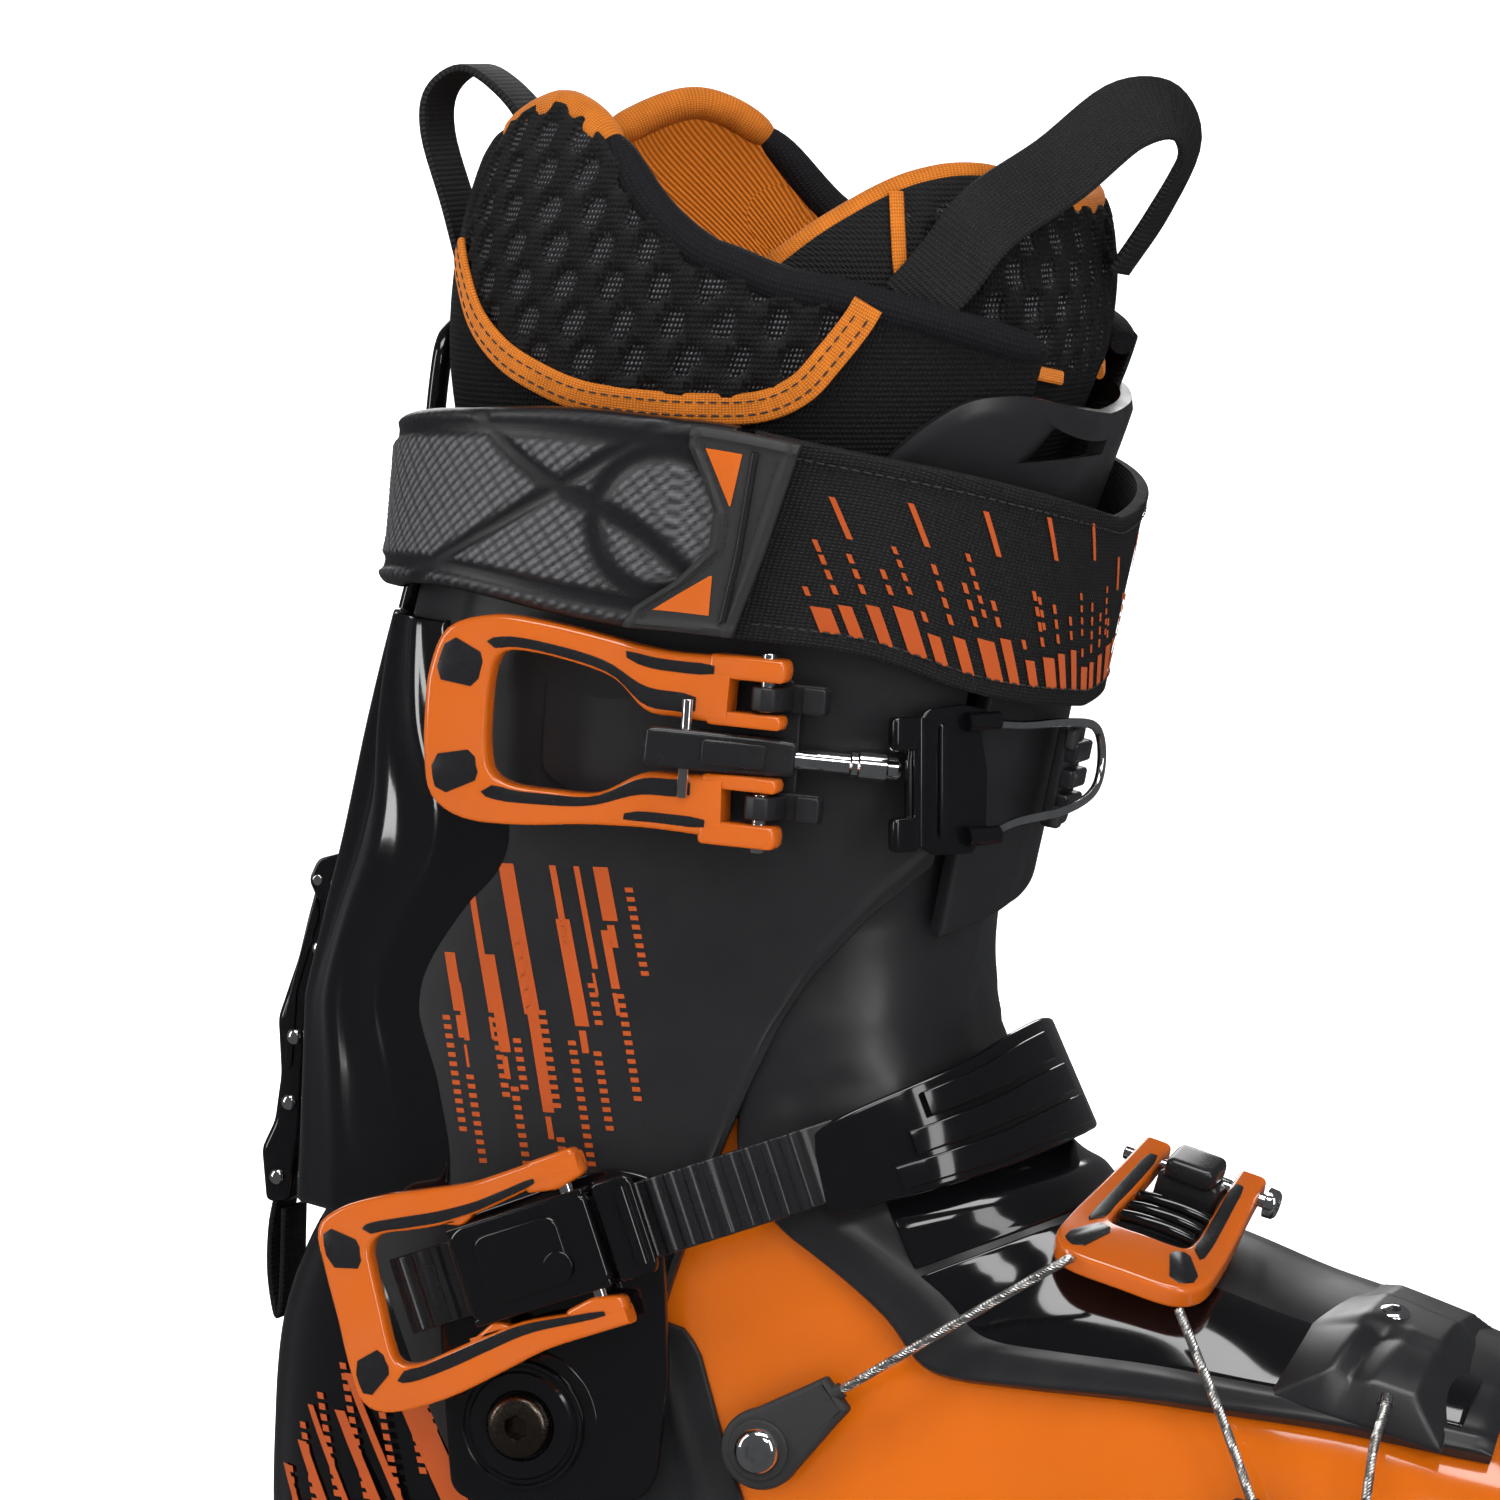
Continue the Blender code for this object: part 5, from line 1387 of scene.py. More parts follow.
def walk_lever():
    """The bar down the spine with its rivets, pull tab and latch housing."""
    outline = [(-57.0, 191), (-61, 192), (-64.5, 180), (-66.8, 171), (-71.5, 158), (-70.9, 146), (-72.4, 136),
               (-75.4, 130), (-74.4, 118.5), (-69, 118.5), (-66.3, 133), (-65.5, 147), (-64.0, 164),
               (-60.5, 178)]
    meshes = [plate_mesh("walk", outline, 15.0, axes((0, 0, 0), (1, 0, 0), (0, 0, 1)), 1.4, 1.6)]
    ring = [(-62, 186), (-66.0, 172), (-69.8, 158), (-69.2, 147), (-67.8, 148), (-66.6, 164), (-61.5, 180)]
    for side in (-1, 1):
        meshes.append(plate_mesh("walk", ring, 1.0, axes((0, side * 7.6, 0), (1, 0, 0), (0, 0, 1)), 0.3, 1.0))
    add("walk_lever_fine", joined("walk", meshes), "gloss_black", "walk_lever",
        ("walk_lever",))
    heads = []
    for x, z in ((-61.5, 173), (-67.3, 154), (-68.6, 140), (-71.4, 124)):
        for side in (-1, 1):
            heads.append(rivet((x, side * 8.0, z), (0, side, 0), 1.7))
    add("walk_rivets", joined("rivets", heads), "chrome", "walk_lever")
    refined("walk_pin", "chrome", "cuff", 0.3)
    meshes = []
    for side in (-1, 1):
        outline = [(-60.5, 183.5), (-62.6, 188), (-60.5, 192.5), (-55, 194), (-50, 190), (-50.5, 184)]
        meshes.append(plate_mesh("lug", outline, 3.0, axes((0, side * 10.2, 0), (1, 0, 0), (0, 0, 1)), 0.7,
                                 1.4))
    add("walk_lugs", joined("lugs", meshes), "gloss_black", "cuff")
    path = flow([(-72.0, 0, 121), (-73.6, 0, 113), (-73.9, 0, 103), (-72.6, 0, 94.5), (-71.6, 0, 95.5),
                 (-71.0, 0, 104), (-70.6, 0, 117)], 6)
    across = Vector((0, 1, 0))
    bars = [(centre, across, across.cross(along), 6.5, 0.6, 0.5) for centre,
            along in zip(path, directions(path))]
    add("walk_tab", sweep_mesh("tab", bars), "webbing", "walk_lever", ("walk_pull_tab",))
    refined("lock_housing", "satin_black", "cuff", 0.9)
    refined("lock_pin", "steel", "lock_pin", 0.5)


# ---------------------------------------------------------------- liner above the ankle


COLLAR_TOP = ((30, 303), (46, 307), (75, 315), (87, 319), (97, 329), (109, 343), (126, 352), (150, 346),
              (180, 330))
COLLAR_WALL = 6.0


def collar_top(degrees):
    """Height of the collar's top edge."""
    return smooth_between(COLLAR_TOP, np.where(degrees <= 180, degrees, 360 - degrees))


def collar_offset(z):
    """The collar stands inside the cuff, swells above it and closes in at its top."""
    return smooth_between(((240, -7.8), (270, -7.8), (284, -4.5), (298, -1.8), (328, -1.8), (340, -4.4),
                           (352, -9.0)), z)


BINDING = ((149, 322), (142, 315), (135, 307.5), (126, 301), (118, 297), (108, 293), (99, 291.4), (90, 290.6),
           (84, 291.4), (79, 295), (75.5, 301), (72, 308), (70.5, 312))


def oval_cells(u, v, across=10.4, up=15.0):
    """Relief from 0 in the middle of staggered oval cells to 1 on the net between them."""
    nearest = np.full(u.shape, 9.0)
    for shift in (0.0, 0.5):
        a = (u / across + shift) % 1.0 - 0.5
        b = (v / up + shift) % 1.0 - 0.5
        nearest = np.minimum(nearest, np.sqrt((a / 0.5) ** 2 + (b / 0.5) ** 2))
    return np.clip((nearest - 0.36) / 0.24, 0, 1)


def mirrored(knots):
    """Knots round the leg on the inner side."""
    return [(360 - a, z) for a, z in knots]


def binding_tape(name, knots, offset, half_width=3.2, look="binding", stitched=True, raise_by=0.7):
    """A tape along (angle, height) knots on the collar, with two rows of stitches."""
    smooth = flow([(a, z, 0.0) for a, z in knots], 8)
    centres = [Vector(leg(p.y, p.x, float(offset(p.y)) + raise_by)) for p in smooth]
    stations = []
    lines = {-1: [], 1: []}
    for place, centre, along in zip(smooth, centres, directions(centres)):
        outward = Vector(leg(place.y, place.x, 10.0)) - Vector(leg(place.y, place.x, 0.0))
        outward = (outward - along * outward.dot(along)).normalized()
        across = outward.cross(along).normalized()
        stations.append((centre, across, outward, half_width, 0.75, 0.7))
        for side in lines:
            lines[side].append(centre + across * side * half_width * 0.42 + outward * 0.8)
    add(name, sweep_mesh(name, stations), look, "cuff")
    if stitched:
        threads = [stitch_mesh(name, line, 2.6, 1.8, 0.22) for line in lines.values()]
        add(name + "_stitches", joined(name, threads), "thread", "cuff")


def collar():
    """The collar: a net panel on each side, orange lining, padded edge and taped seams."""
    degrees = steps(30, 330, 300)
    grid = leg_grid(166.0, collar_top, degrees, 110, collar_offset)
    u = surface_places(grid)[0]
    z = grid[..., 2]
    turn = np.broadcast_to(degrees, z.shape)
    folded = np.where(turn <= 180, turn, 360 - turn)
    lower_line = between(sorted(BINDING), folded)
    inside = 1 / (1 + np.exp(-(z - lower_line) * 0.9)) / (1 + np.exp(-(folded - 71) * 0.9))
    inside = inside / (1 + np.exp((folded - 149) * 0.9))
    net = oval_cells(u - u[:, :1], z)
    cells = inside * (net - 1.0)
    soft = 0.35 * np.sin(u / 13.0) * np.sin(z / 17.0)
    relief = 2.1 * cells + 0.5 * inside + soft
    # The stored net relief also places knit_mesh's painted glints in the sunk cells.
    mesh = skin_mesh("collar", grid, 0.8, relief, 1.0, stored=np.where(inside > 0.5, net, 0.9))
    piece = add("collar_outer", mesh, "knit_mesh", "cuff", ("liner_collar",))
    inner_degrees = steps(31, 329, 150)
    inner = leg_grid(166.5, lambda a: collar_top(a) - 0.8, inner_degrees, 60,
                     lambda height: collar_offset(height) - COLLAR_WALL + 0.8)
    iu, iv = surface_places(inner)
    quilt = -0.9 * np.abs(np.sin(iv / 15.0)) * np.abs(np.sin(iu / 18.0))
    lining = skin_mesh("lining", inner, 0.8, quilt, 0.4)
    piece = add("collar_lining", lining, "lining", "cuff")
    padded_edge()
    binding_tape("binding_lateral", BINDING, collar_offset)
    binding_tape("binding_medial", mirrored(BINDING), collar_offset)


def padded_edge():
    """The thick black roll along the collar's top, and the orange caps over it at the back."""
    for name, start, end, look, radius in (("edge_roll_lateral", 30, 112, "jersey", 3.9),
                                           ("edge_roll_medial", 330, 248, "jersey", 3.9),
                                           ("edge_cap_lateral", 111, 150, "binding", 3.6),
                                           ("edge_cap_medial", 249, 210, "binding", 3.6),
                                           ("edge_roll_rear", 149, 211, "jersey", 3.2)):
        degrees = np.linspace(start, end, 60)
        top = collar_top(degrees)
        centres = [Vector(leg(z - 1.6, a, float(collar_offset(z)) - COLLAR_WALL / 2)) for a,
                   z in zip(degrees, top)]
        mesh = tube_mesh(name, centres, lambda t, r=radius: r * (1 - 0.35 * (2 * abs(t - 0.5)) ** 12), 18)
        piece = add(name, mesh, look, "cuff")


def liner_tongue_offset(z):
    """How far the liner's tongue stands in from the leg's outer face: its top curves in."""
    return smooth_between(((240, -14.6), (268, -14.6), (304, -9.2), (316, -10.5), (328, -14.0),
                           (340, -20.0)), z)


LINER_TONGUE_TOP = ((0, 331), (20, 333.5), (42, 338), (56, 337.5), (66, 335), (74, 331), (82, 325), (88, 318))
LINER_TONGUE_HALF = 86


def liner_tongue_top(degrees):
    """Height of the liner tongue's top edge: a dip at the front between rounded shoulders."""
    return smooth_between(LINER_TONGUE_TOP, np.abs(degrees))


def liner_tongue():
    """The padded tongue of the liner, with net in its middle and orange tape round its edge."""
    degrees = steps(-LINER_TONGUE_HALF, LINER_TONGUE_HALF, 190)
    grid = leg_grid(180.0, liner_tongue_top, degrees, 90, liner_tongue_offset)
    u = surface_places(grid)[0]
    z = grid[..., 2]
    turn = np.abs(np.broadcast_to(degrees, z.shape))
    low_line = between(((0, 296), (26, 298), (42, 302.5), (51, 306.5), (60, 313), (63, 318), (65, 336)), turn)
    inside = 1 / (1 + np.exp((turn - 64) * 0.9)) / (1 + np.exp((z - 331) * 0.8))
    inside = inside / (1 + np.exp((low_line - z) * 0.8))
    net = oval_cells(u, z, 10.0, 13.5)
    relief = 1.7 * inside * (net - 1.0) + 0.5 * inside
    # The stored net relief also places knit_mesh's painted glints in the sunk cells.
    mesh = skin_mesh("liner_tongue", grid, 3.0, relief, 1.6, stored=np.where(inside > 0.5, net, 0.9))
    piece = add("liner_tongue_outer", mesh, "knit_mesh", "cuff", ("liner_tongue",))
    inner = leg_grid(181.0, lambda a: liner_tongue_top(a) - 1.0, degrees[::2], 40,
                     lambda height: liner_tongue_offset(height) - 3.1)
    mesh = skin_mesh("tongue_lining", inner, 1.6, 0.0, 0.4)
    piece = add("liner_tongue_lining", mesh, "lining", "cuff")
    turns = np.linspace(-LINER_TONGUE_HALF, LINER_TONGUE_HALF, 110)
    centres = [Vector(leg(z - 0.8, a, float(liner_tongue_offset(z)) - 2.2)) for a, z in
               zip(turns, liner_tongue_top(turns))]
    for sign in (-1, 1):
        down = [Vector(leg(z, sign * LINER_TONGUE_HALF, float(liner_tongue_offset(z)) - 2.2))
                for z in np.linspace(319, 280, 16)]
        centres = (down[::-1] + centres) if sign < 0 else (centres + down)
    mesh = tube_mesh("tongue_edge", centres, 2.6, 16)
    piece = add("liner_tongue_edge", mesh, "binding", "cuff")
    for sign in (-1, 1):
        knots = [(sign * a, z) for a, z in ((66, 334), (65, 326), (63.5, 318), (60.5, 313), (57, 310),
                                            (51, 306.5), (42, 302.5), (26, 298), (12, 296))]
        binding_tape("tongue_tape_" + ("medial" if sign < 0 else "lateral"), knots, liner_tongue_offset, 1.5,
                     stitched=False, raise_by=0.4)


def flat_band(name, path, ups, half_width, wall, look, body, nodes=(), count=6):
    """A woven strap along a path, each place with the direction that its width lies in."""
    centres = flow(path, count)
    stations = []
    for centre, along, raw in zip(centres, directions(centres), flow(ups, count)):
        up = raw - along * raw.dot(along)
        up.normalize()
        stations.append((centre, up, along.cross(up).normalized(), half_width, wall / 2, wall * 0.42))
    return add(name, sweep_mesh(name, stations), look, body, nodes)


def pull_loops():
    """The rear loop over the liner's back and the front loop over its tongue."""
    rear = [(-27.0, -6, 317), (-30.5, -6, 330), (-35, -6, 345), (-34, -6, 354), (-27, -6, 358.5),
            (-19, -6, 354), (-13, -6, 346), (-11, -6, 334)]
    flat_band("pull_loop_rear_fine", rear, [(0, 1, 0)] * len(rear), 9.0, 1.7, "webbing", "cuff",
              ("pull_loop_rear",))
    front = [tuple(leg(311, 61, -6.5)), tuple(leg(319, 55, -6.5)), tuple(leg(329, 47, -8.0)),
             (105, -24, 338.5),
             (115.5, -13, 349), (123, -4, 350), (124.5, 3, 342), (117.5, 5, 329), (109.5, 4, 317)]
    ups = [(-0.5, 0.1, 0.85)] * 4 + [(-0.35, 0.3, 0.9), (-0.1, 0.75, 0.6), (0, 1, 0.2), (0, 1, 0), (0, 1, 0)]
    flat_band("pull_loop_front_fine", front, ups, 7.6, 1.7, "webbing", "cuff",
              ("pull_loop_front",))


# ---------------------------------------------------------------- power strap


STRAP_INNER = 3.4
PAD_WALL = 4.4
BAND_WALL = 2.2


STRAP_LOW = ((0, 228), (40, 234), (62, 241.5), (90, 246), (100, 248.5), (118, 252.5), (180, 251))
STRAP_HIGH = ((0, 267), (45, 277), (79, 285), (92, 289), (130, 290), (180, 284))


def strap_low(degrees):
    """Height of the strap's lower edge."""
    return smooth_between(STRAP_LOW, np.where(np.abs(degrees) <= 180, np.abs(degrees), 360 - degrees))


def strap_high(degrees):
    """Height of the strap's upper edge."""
    return smooth_between(STRAP_HIGH, np.where(np.abs(degrees) <= 180, np.abs(degrees), 360 - degrees))


def strap_pad():
    """The moulded pad round the back: a pressed basket weave between smooth curved channels."""
    degrees = steps(86, 274, 430)
    grid = leg_grid(strap_low, strap_high, degrees, 76, STRAP_INNER + PAD_WALL - 0.9)
    u, v = surface_places(grid)
    height = v / v[-1]
    from_front = np.minimum(u, u[:, -1:] - u)
    a, b = (from_front + v) / 2.6, (from_front - v) / 2.6
    over = np.sin(math.pi * a) ** 2 * (0.35 + 0.65 * (np.sin(math.pi * b / 2) ** 2 > 0.5))
    weave = 0.45 * over + 0.55 * np.abs(np.sin(math.pi * a) * np.sin(math.pi * b)) ** 0.6
    channel = np.zeros_like(u)
    for centre, width in ((0.90, 0.055), (0.12, 0.05),
                          (0.18 + 0.0135 * from_front + 0.06 * np.sin(from_front / 9), 0.06),
                          (1.25 - 0.0175 * from_front, 0.055)):
        channel = np.maximum(channel, np.exp(-((height - centre) / width) ** 4))
    oval = np.sqrt(((from_front - 12) / 15) ** 2 + ((height - 0.52) / 0.34) ** 2)
    channel = np.maximum(channel, np.exp(-((oval - 1) / 0.16) ** 4))
    edge = np.clip(np.minimum(height, 1 - height) / 0.06, 0, 1)
    field = (1 - channel) * edge
    relief = 0.8 * edge + field * (0.55 + 0.35 * weave) - 0.25 * channel
    # The stored relief places basket_foam's painted highlights on the weave's crowns and its painted shade in
    # the grooves.
    mesh = skin_mesh("pad", grid, PAD_WALL - 0.9, relief, 1.2, stored=field * (0.35 + 0.65 * weave))
    piece = add("strap_pad_fine", mesh, "basket_foam", "cuff", ("strap_pad",))


def strap_band():
    """The woven band round the front with its printed pattern, hems and stitches."""
    degrees = steps(-84, 84, 190)
    grid = leg_grid(strap_low, strap_high, degrees, 46, STRAP_INNER + BAND_WALL)
    u, v = surface_places(grid)
    height = v / v[-1]
    hem = 0.35 * ((height < 0.07) | (height > 0.93))
    mesh = skin_mesh("band", grid, BAND_WALL, hem + 0.05 * np.sin(u / 7) * np.sin(v / 9), 0.6)
    add("strap_band_fine", mesh, "webbing", "cuff", ("strap_band",))
    outer = STRAP_INNER + BAND_WALL + 0.25
    for name, share in (("low", 0.085), ("high", 0.915)):
        turns = np.linspace(-82, 82, 160)
        low, high = strap_low(turns), strap_high(turns)
        path = [Vector(leg(z, a, outer + 0.2)) for a, z in zip(turns, low + (high - low) * share)]
        add("band_stitches_" + name, stitch_mesh("band", path, 2.4, 1.7, 0.2), "thread", "cuff")
    band_print(outer)


PRINT_SLOPE = -0.58


def band_print(outer):
    """Slanted dashes and a bottom row of slanted bars, without any lettering."""
    reference = 258.0

    def on_band(distance, share):
        degrees = walk_forward(distance)
        low, high = float(strap_low(np.array(degrees))), float(strap_high(np.array(degrees)))
        return leg(low + (high - low) * share / 44.0, degrees, outer + 0.06)

    table = np.linspace(84, -84, 500)
    path = leg(reference, table, outer)
    gone = np.concatenate(((0,), np.cumsum(np.linalg.norm(np.diff(path, axis=0), axis=1))))

    def walk_forward(distance):
        return float(np.interp(distance, gone, table))

    total = gone[-1]
    marks = []
    for i in range(int(total / 6.2)):
        x = 20 + i * 6.2
        if x > total - 16:
            break
        tall = 5.5 + 3.5 * ((i * 5) % 4) / 3
        marks.append((x, 3.6, 2.9 if i % 3 else 4.3, tall, PRINT_SLOPE * tall))
        dash = 3.6 + tall + 2.2
        for k in range((i * 7) % 4 + 1):
            marks.append((x + PRINT_SLOPE * (dash - 3.6 + 3.1 * k), dash + 3.1 * k, 1.1, 1.9,
                          PRINT_SLOPE * 1.9))
    for i in range(int(total / 17)):
        x = 34 + i * 17
        if x > total - 20:
            break
        start = 25 + (i * 11) % 9
        marks.append((x + PRINT_SLOPE * (start - 3.6), start, 1.3, 8.5, PRINT_SLOPE * 8.5))
        for k in range(3 + i % 3):
            marks.append((x - 8 + PRINT_SLOPE * (2.6 * k + 12), 16 + 2.6 * k, 1.0, 1.5, PRINT_SLOPE * 1.5))
    mesh = marks_mesh("band_print", marks, on_band)
    add("band_print", mesh, "print_orange", "cuff")


TAB_REAR = ((0, 30), (0.10, 31.5), (0.24, 39), (0.42, 45), (0.60, 45), (0.76, 41.5), (0.90, 38), (1, 38))
TAB_FRONT = ((0, 53.5), (1, 61))
TAB_WALL = 2.0


def on_tab(x, share, raised=0.0):
    """The point on the finger tab's outer face at x and at a share of the strap's height."""
    outer = STRAP_INNER + PAD_WALL + 0.4 + TAB_WALL
    degrees = leg_angle(x, 268.0, outer)
    low, high = strap_low(degrees) + 0.5, strap_high(degrees) - 0.5
    return leg(low + (high - low) * share, degrees, outer + raised)


def finger_tab():
    """The rubber tab over the joint of pad and band: a waist, a stitched rim and two orange triangles."""
    shares = steps(0.0, 1.0, 70)
    grid = []
    for share in shares:
        rear, front = float(between(TAB_REAR, share)), float(between(TAB_FRONT, share))
        grid.append([on_tab(front + (rear - front) * t, share) for t in steps(0.0, 1.0, 40)])
    grid = np.array(grid)
    u, v = surface_places(grid)
    across = np.minimum(u, u[:, -1:] - u)
    height = np.minimum(v, v[-1:] - v)
    rim = np.maximum(np.exp(-((across - 1.6) / 0.7) ** 2), np.exp(-((height - 1.6) / 0.7) ** 2))
    mesh = skin_mesh("tab", grid, TAB_WALL, 0.7 * rim, 0.8)
    add("finger_tab_fine", mesh, "soft_black", "cuff", ("finger_tab",))
    threads = []
    for knots, inset in ((TAB_REAR, 3.2), (TAB_FRONT, -3.6)):
        path = [Vector(on_tab(float(between(knots, share)) + inset, share, 0.15))
                for share in np.linspace(0.05, 0.95, 60)]
        threads.append(stitch_mesh("tab", path, 2.3, 1.5, 0.22))
    add("finger_tab_stitches", joined("tab", threads), "thread", "cuff")
    meshes = []
    for base, tip, rear, front, point in ((0.90, 0.63, 41.8, 49.5, 48.5), (0.10, 0.30, 36.0, 48.0, 47.0)):
        rows = []
        for t in np.linspace(0, 0.96, 10):
            share = base + (tip - base) * t
            left, right = rear + (point - rear) * t, front + (point - front) * t
            rows.append([on_tab(left + (right - left) * s, share, 0.3) for s in np.linspace(0, 1, 7)])
        meshes.append(skin_mesh("tab_mark", np.array(rows), 0.4, 0.0, 0.15))
    add("finger_tab_marks", joined("tab_marks", meshes), "lever_orange", "cuff")
    bead = [Vector(on_tab(51.0 + 1.2 * share, share, 0.2)) for share in np.linspace(0.08, 0.92, 30)]
    add("finger_tab_bead", tube_mesh("tab_bead", bead, 0.8, 10), "satin_black", "cuff")


# ---------------------------------------------------------------- upper buckle


UPPER_TILT = math.radians(4.0)
UPPER_YAW = math.radians(1.5)
UPPER_UP = Vector((math.sin(UPPER_TILT), 0.0, math.cos(UPPER_TILT)))
UPPER_ALONG = Vector((math.cos(UPPER_YAW) * math.cos(UPPER_TILT), -math.sin(UPPER_YAW),
                      -math.cos(UPPER_YAW) * math.sin(UPPER_TILT)))
UPPER = axes(joint_at("upper_lever_hinge"), UPPER_ALONG, UPPER_UP)
# The lever as pairs of outer and inner points, from the high arm round the handle to the low arm.
UPPER_PAIRS = ((-7, 19.0, -7.5, 5.2), (-18, 18.7, -18, 5.6), (-26, 19.2, -25, 6.4), (-36, 20.8, -32, 12.2),
               (-47, 22.3, -43, 15.0), (-58, 22.8, -53, 16.0), (-67.5, 19.5, -56.5, 14.2),
               (-70.8, 11, -57.5, 9),
               (-71.2, 2, -57.6, 2), (-70.8, -7, -57.4, -4), (-69, -15, -56.2, -9), (-62, -19.2, -52, -11.2),
               (-50, -19.4, -44, -11.6), (-37, -18.0, -34, -11.2), (-26, -17.4, -25, -6.4),
               (-18, -17.4, -18, -5.6), (-7, -17.8, -7.5, -5.2))
UPPER_HEIGHTS = (0, 0, 0, 0.3, 0.8, 1.6, 2.6, 3.2, 3.4, 3.2, 2.6, 1.6, 0.8, 0.3, 0, 0, 0)


def finger(name, matrix, x0, x1, y0, y1, wall, edge=1.1):
    """A rounded prong of a lever's fork."""
    outline = [(x0, y0), (x1 - 0.6, y0), (x1, (y0 + y1) / 2), (x1 - 0.6, y1), (x0, y1)]
    return plate_mesh(name, outline, wall, matrix, edge, 1.2)


def upper_lever():
    """The orange lever with forked ends and black inlays, and the pin through its sleeve."""
    meshes = [bar_mesh("lever", UPPER_PAIRS, UPPER, UPPER_HEIGHTS, 3.0, 1.5)]
    for sign in (-1, 1):
        outer, inner = sorted((sign * 14.4, sign * 19.2)), sorted((sign * 4.9, sign * 7.9))
        meshes.append(finger("lever", UPPER, -12, 4.6, outer[0], outer[1], 6.2))
        meshes.append(finger("lever", UPPER, -12, 4.2, inner[0], inner[1], 5.6, 0.9))
    add("upper_lever_fine", joined("lever", meshes), "lever_orange", "upper_lever",
        ("upper_lever",))
    inlays = []
    for start, end, low, high in ((0.6, 5.6, 0.10, 0.40), (6.1, 7.2, 0.16, 0.86), (9.0, 10.1, 0.16, 0.86),
                                  (10.6, 15.4, 0.10, 0.40), (0.3, 2.4, 0.70, 0.88), (13.8, 15.7, 0.70, 0.88)):
        inlays.append(inlay_mesh("inlay", UPPER_PAIRS, UPPER, UPPER_HEIGHTS, start, end, low, high, 2.95))
    add("upper_lever_inlays", joined("inlays", inlays), "satin_black", "upper_lever")
    refined("sleeve_pin", "chrome", "upper_lever", 0.2)


def upper_base():
    """The black lugs on the cuff that hold the lever's pins, with the plate that they stand on."""
    meshes = []
    for sign in (-1, 1):
        y = sign * 11.0
        lug = [(-3.3, -6.6), (-3.3, 0), (-2.3, 2.4), (0, 3.3), (2.3, 2.4), (3.3, 0), (4.4, -6.6)]
        side = moved(UPPER, 0, y, 0) @ Matrix.Rotation(math.pi / 2, 4, "X")
        meshes.append(plate_mesh("lug", lug, 4.8, side, 0.5, 0.6))
        meshes.append(plate_mesh("lug", box_outline(14.6, 5.9), 2.4, moved(UPPER, 4, y, -5.8), 0.5, 1.4))
        meshes.append(plate_mesh("lug", box_outline(5.0, 5.4), 3.4, moved(UPPER, 9.0, y, -4.2), 0.5, 0.9))
    add("upper_lugs", joined("lugs", meshes), "matte_black", "cuff",
        ("upper_base_low", "upper_base_high"))
    back = plate_mesh("back", [(-52, 12), (-44, 16.5), (-12, 15.5), (0, 15.5), (3, 12), (3, -12), (0, -15),
                               (-12, -15), (-44, -13.5), (-52, -9)], 1.2, moved(UPPER, 2, 0, -7.3), 0.5, 3.0)
    add("upper_backplate", back, "matte_black", "cuff")
    for end in ("low", "high"):
        refined("upper_pin_" + end, "chrome", "cuff", 0.3)


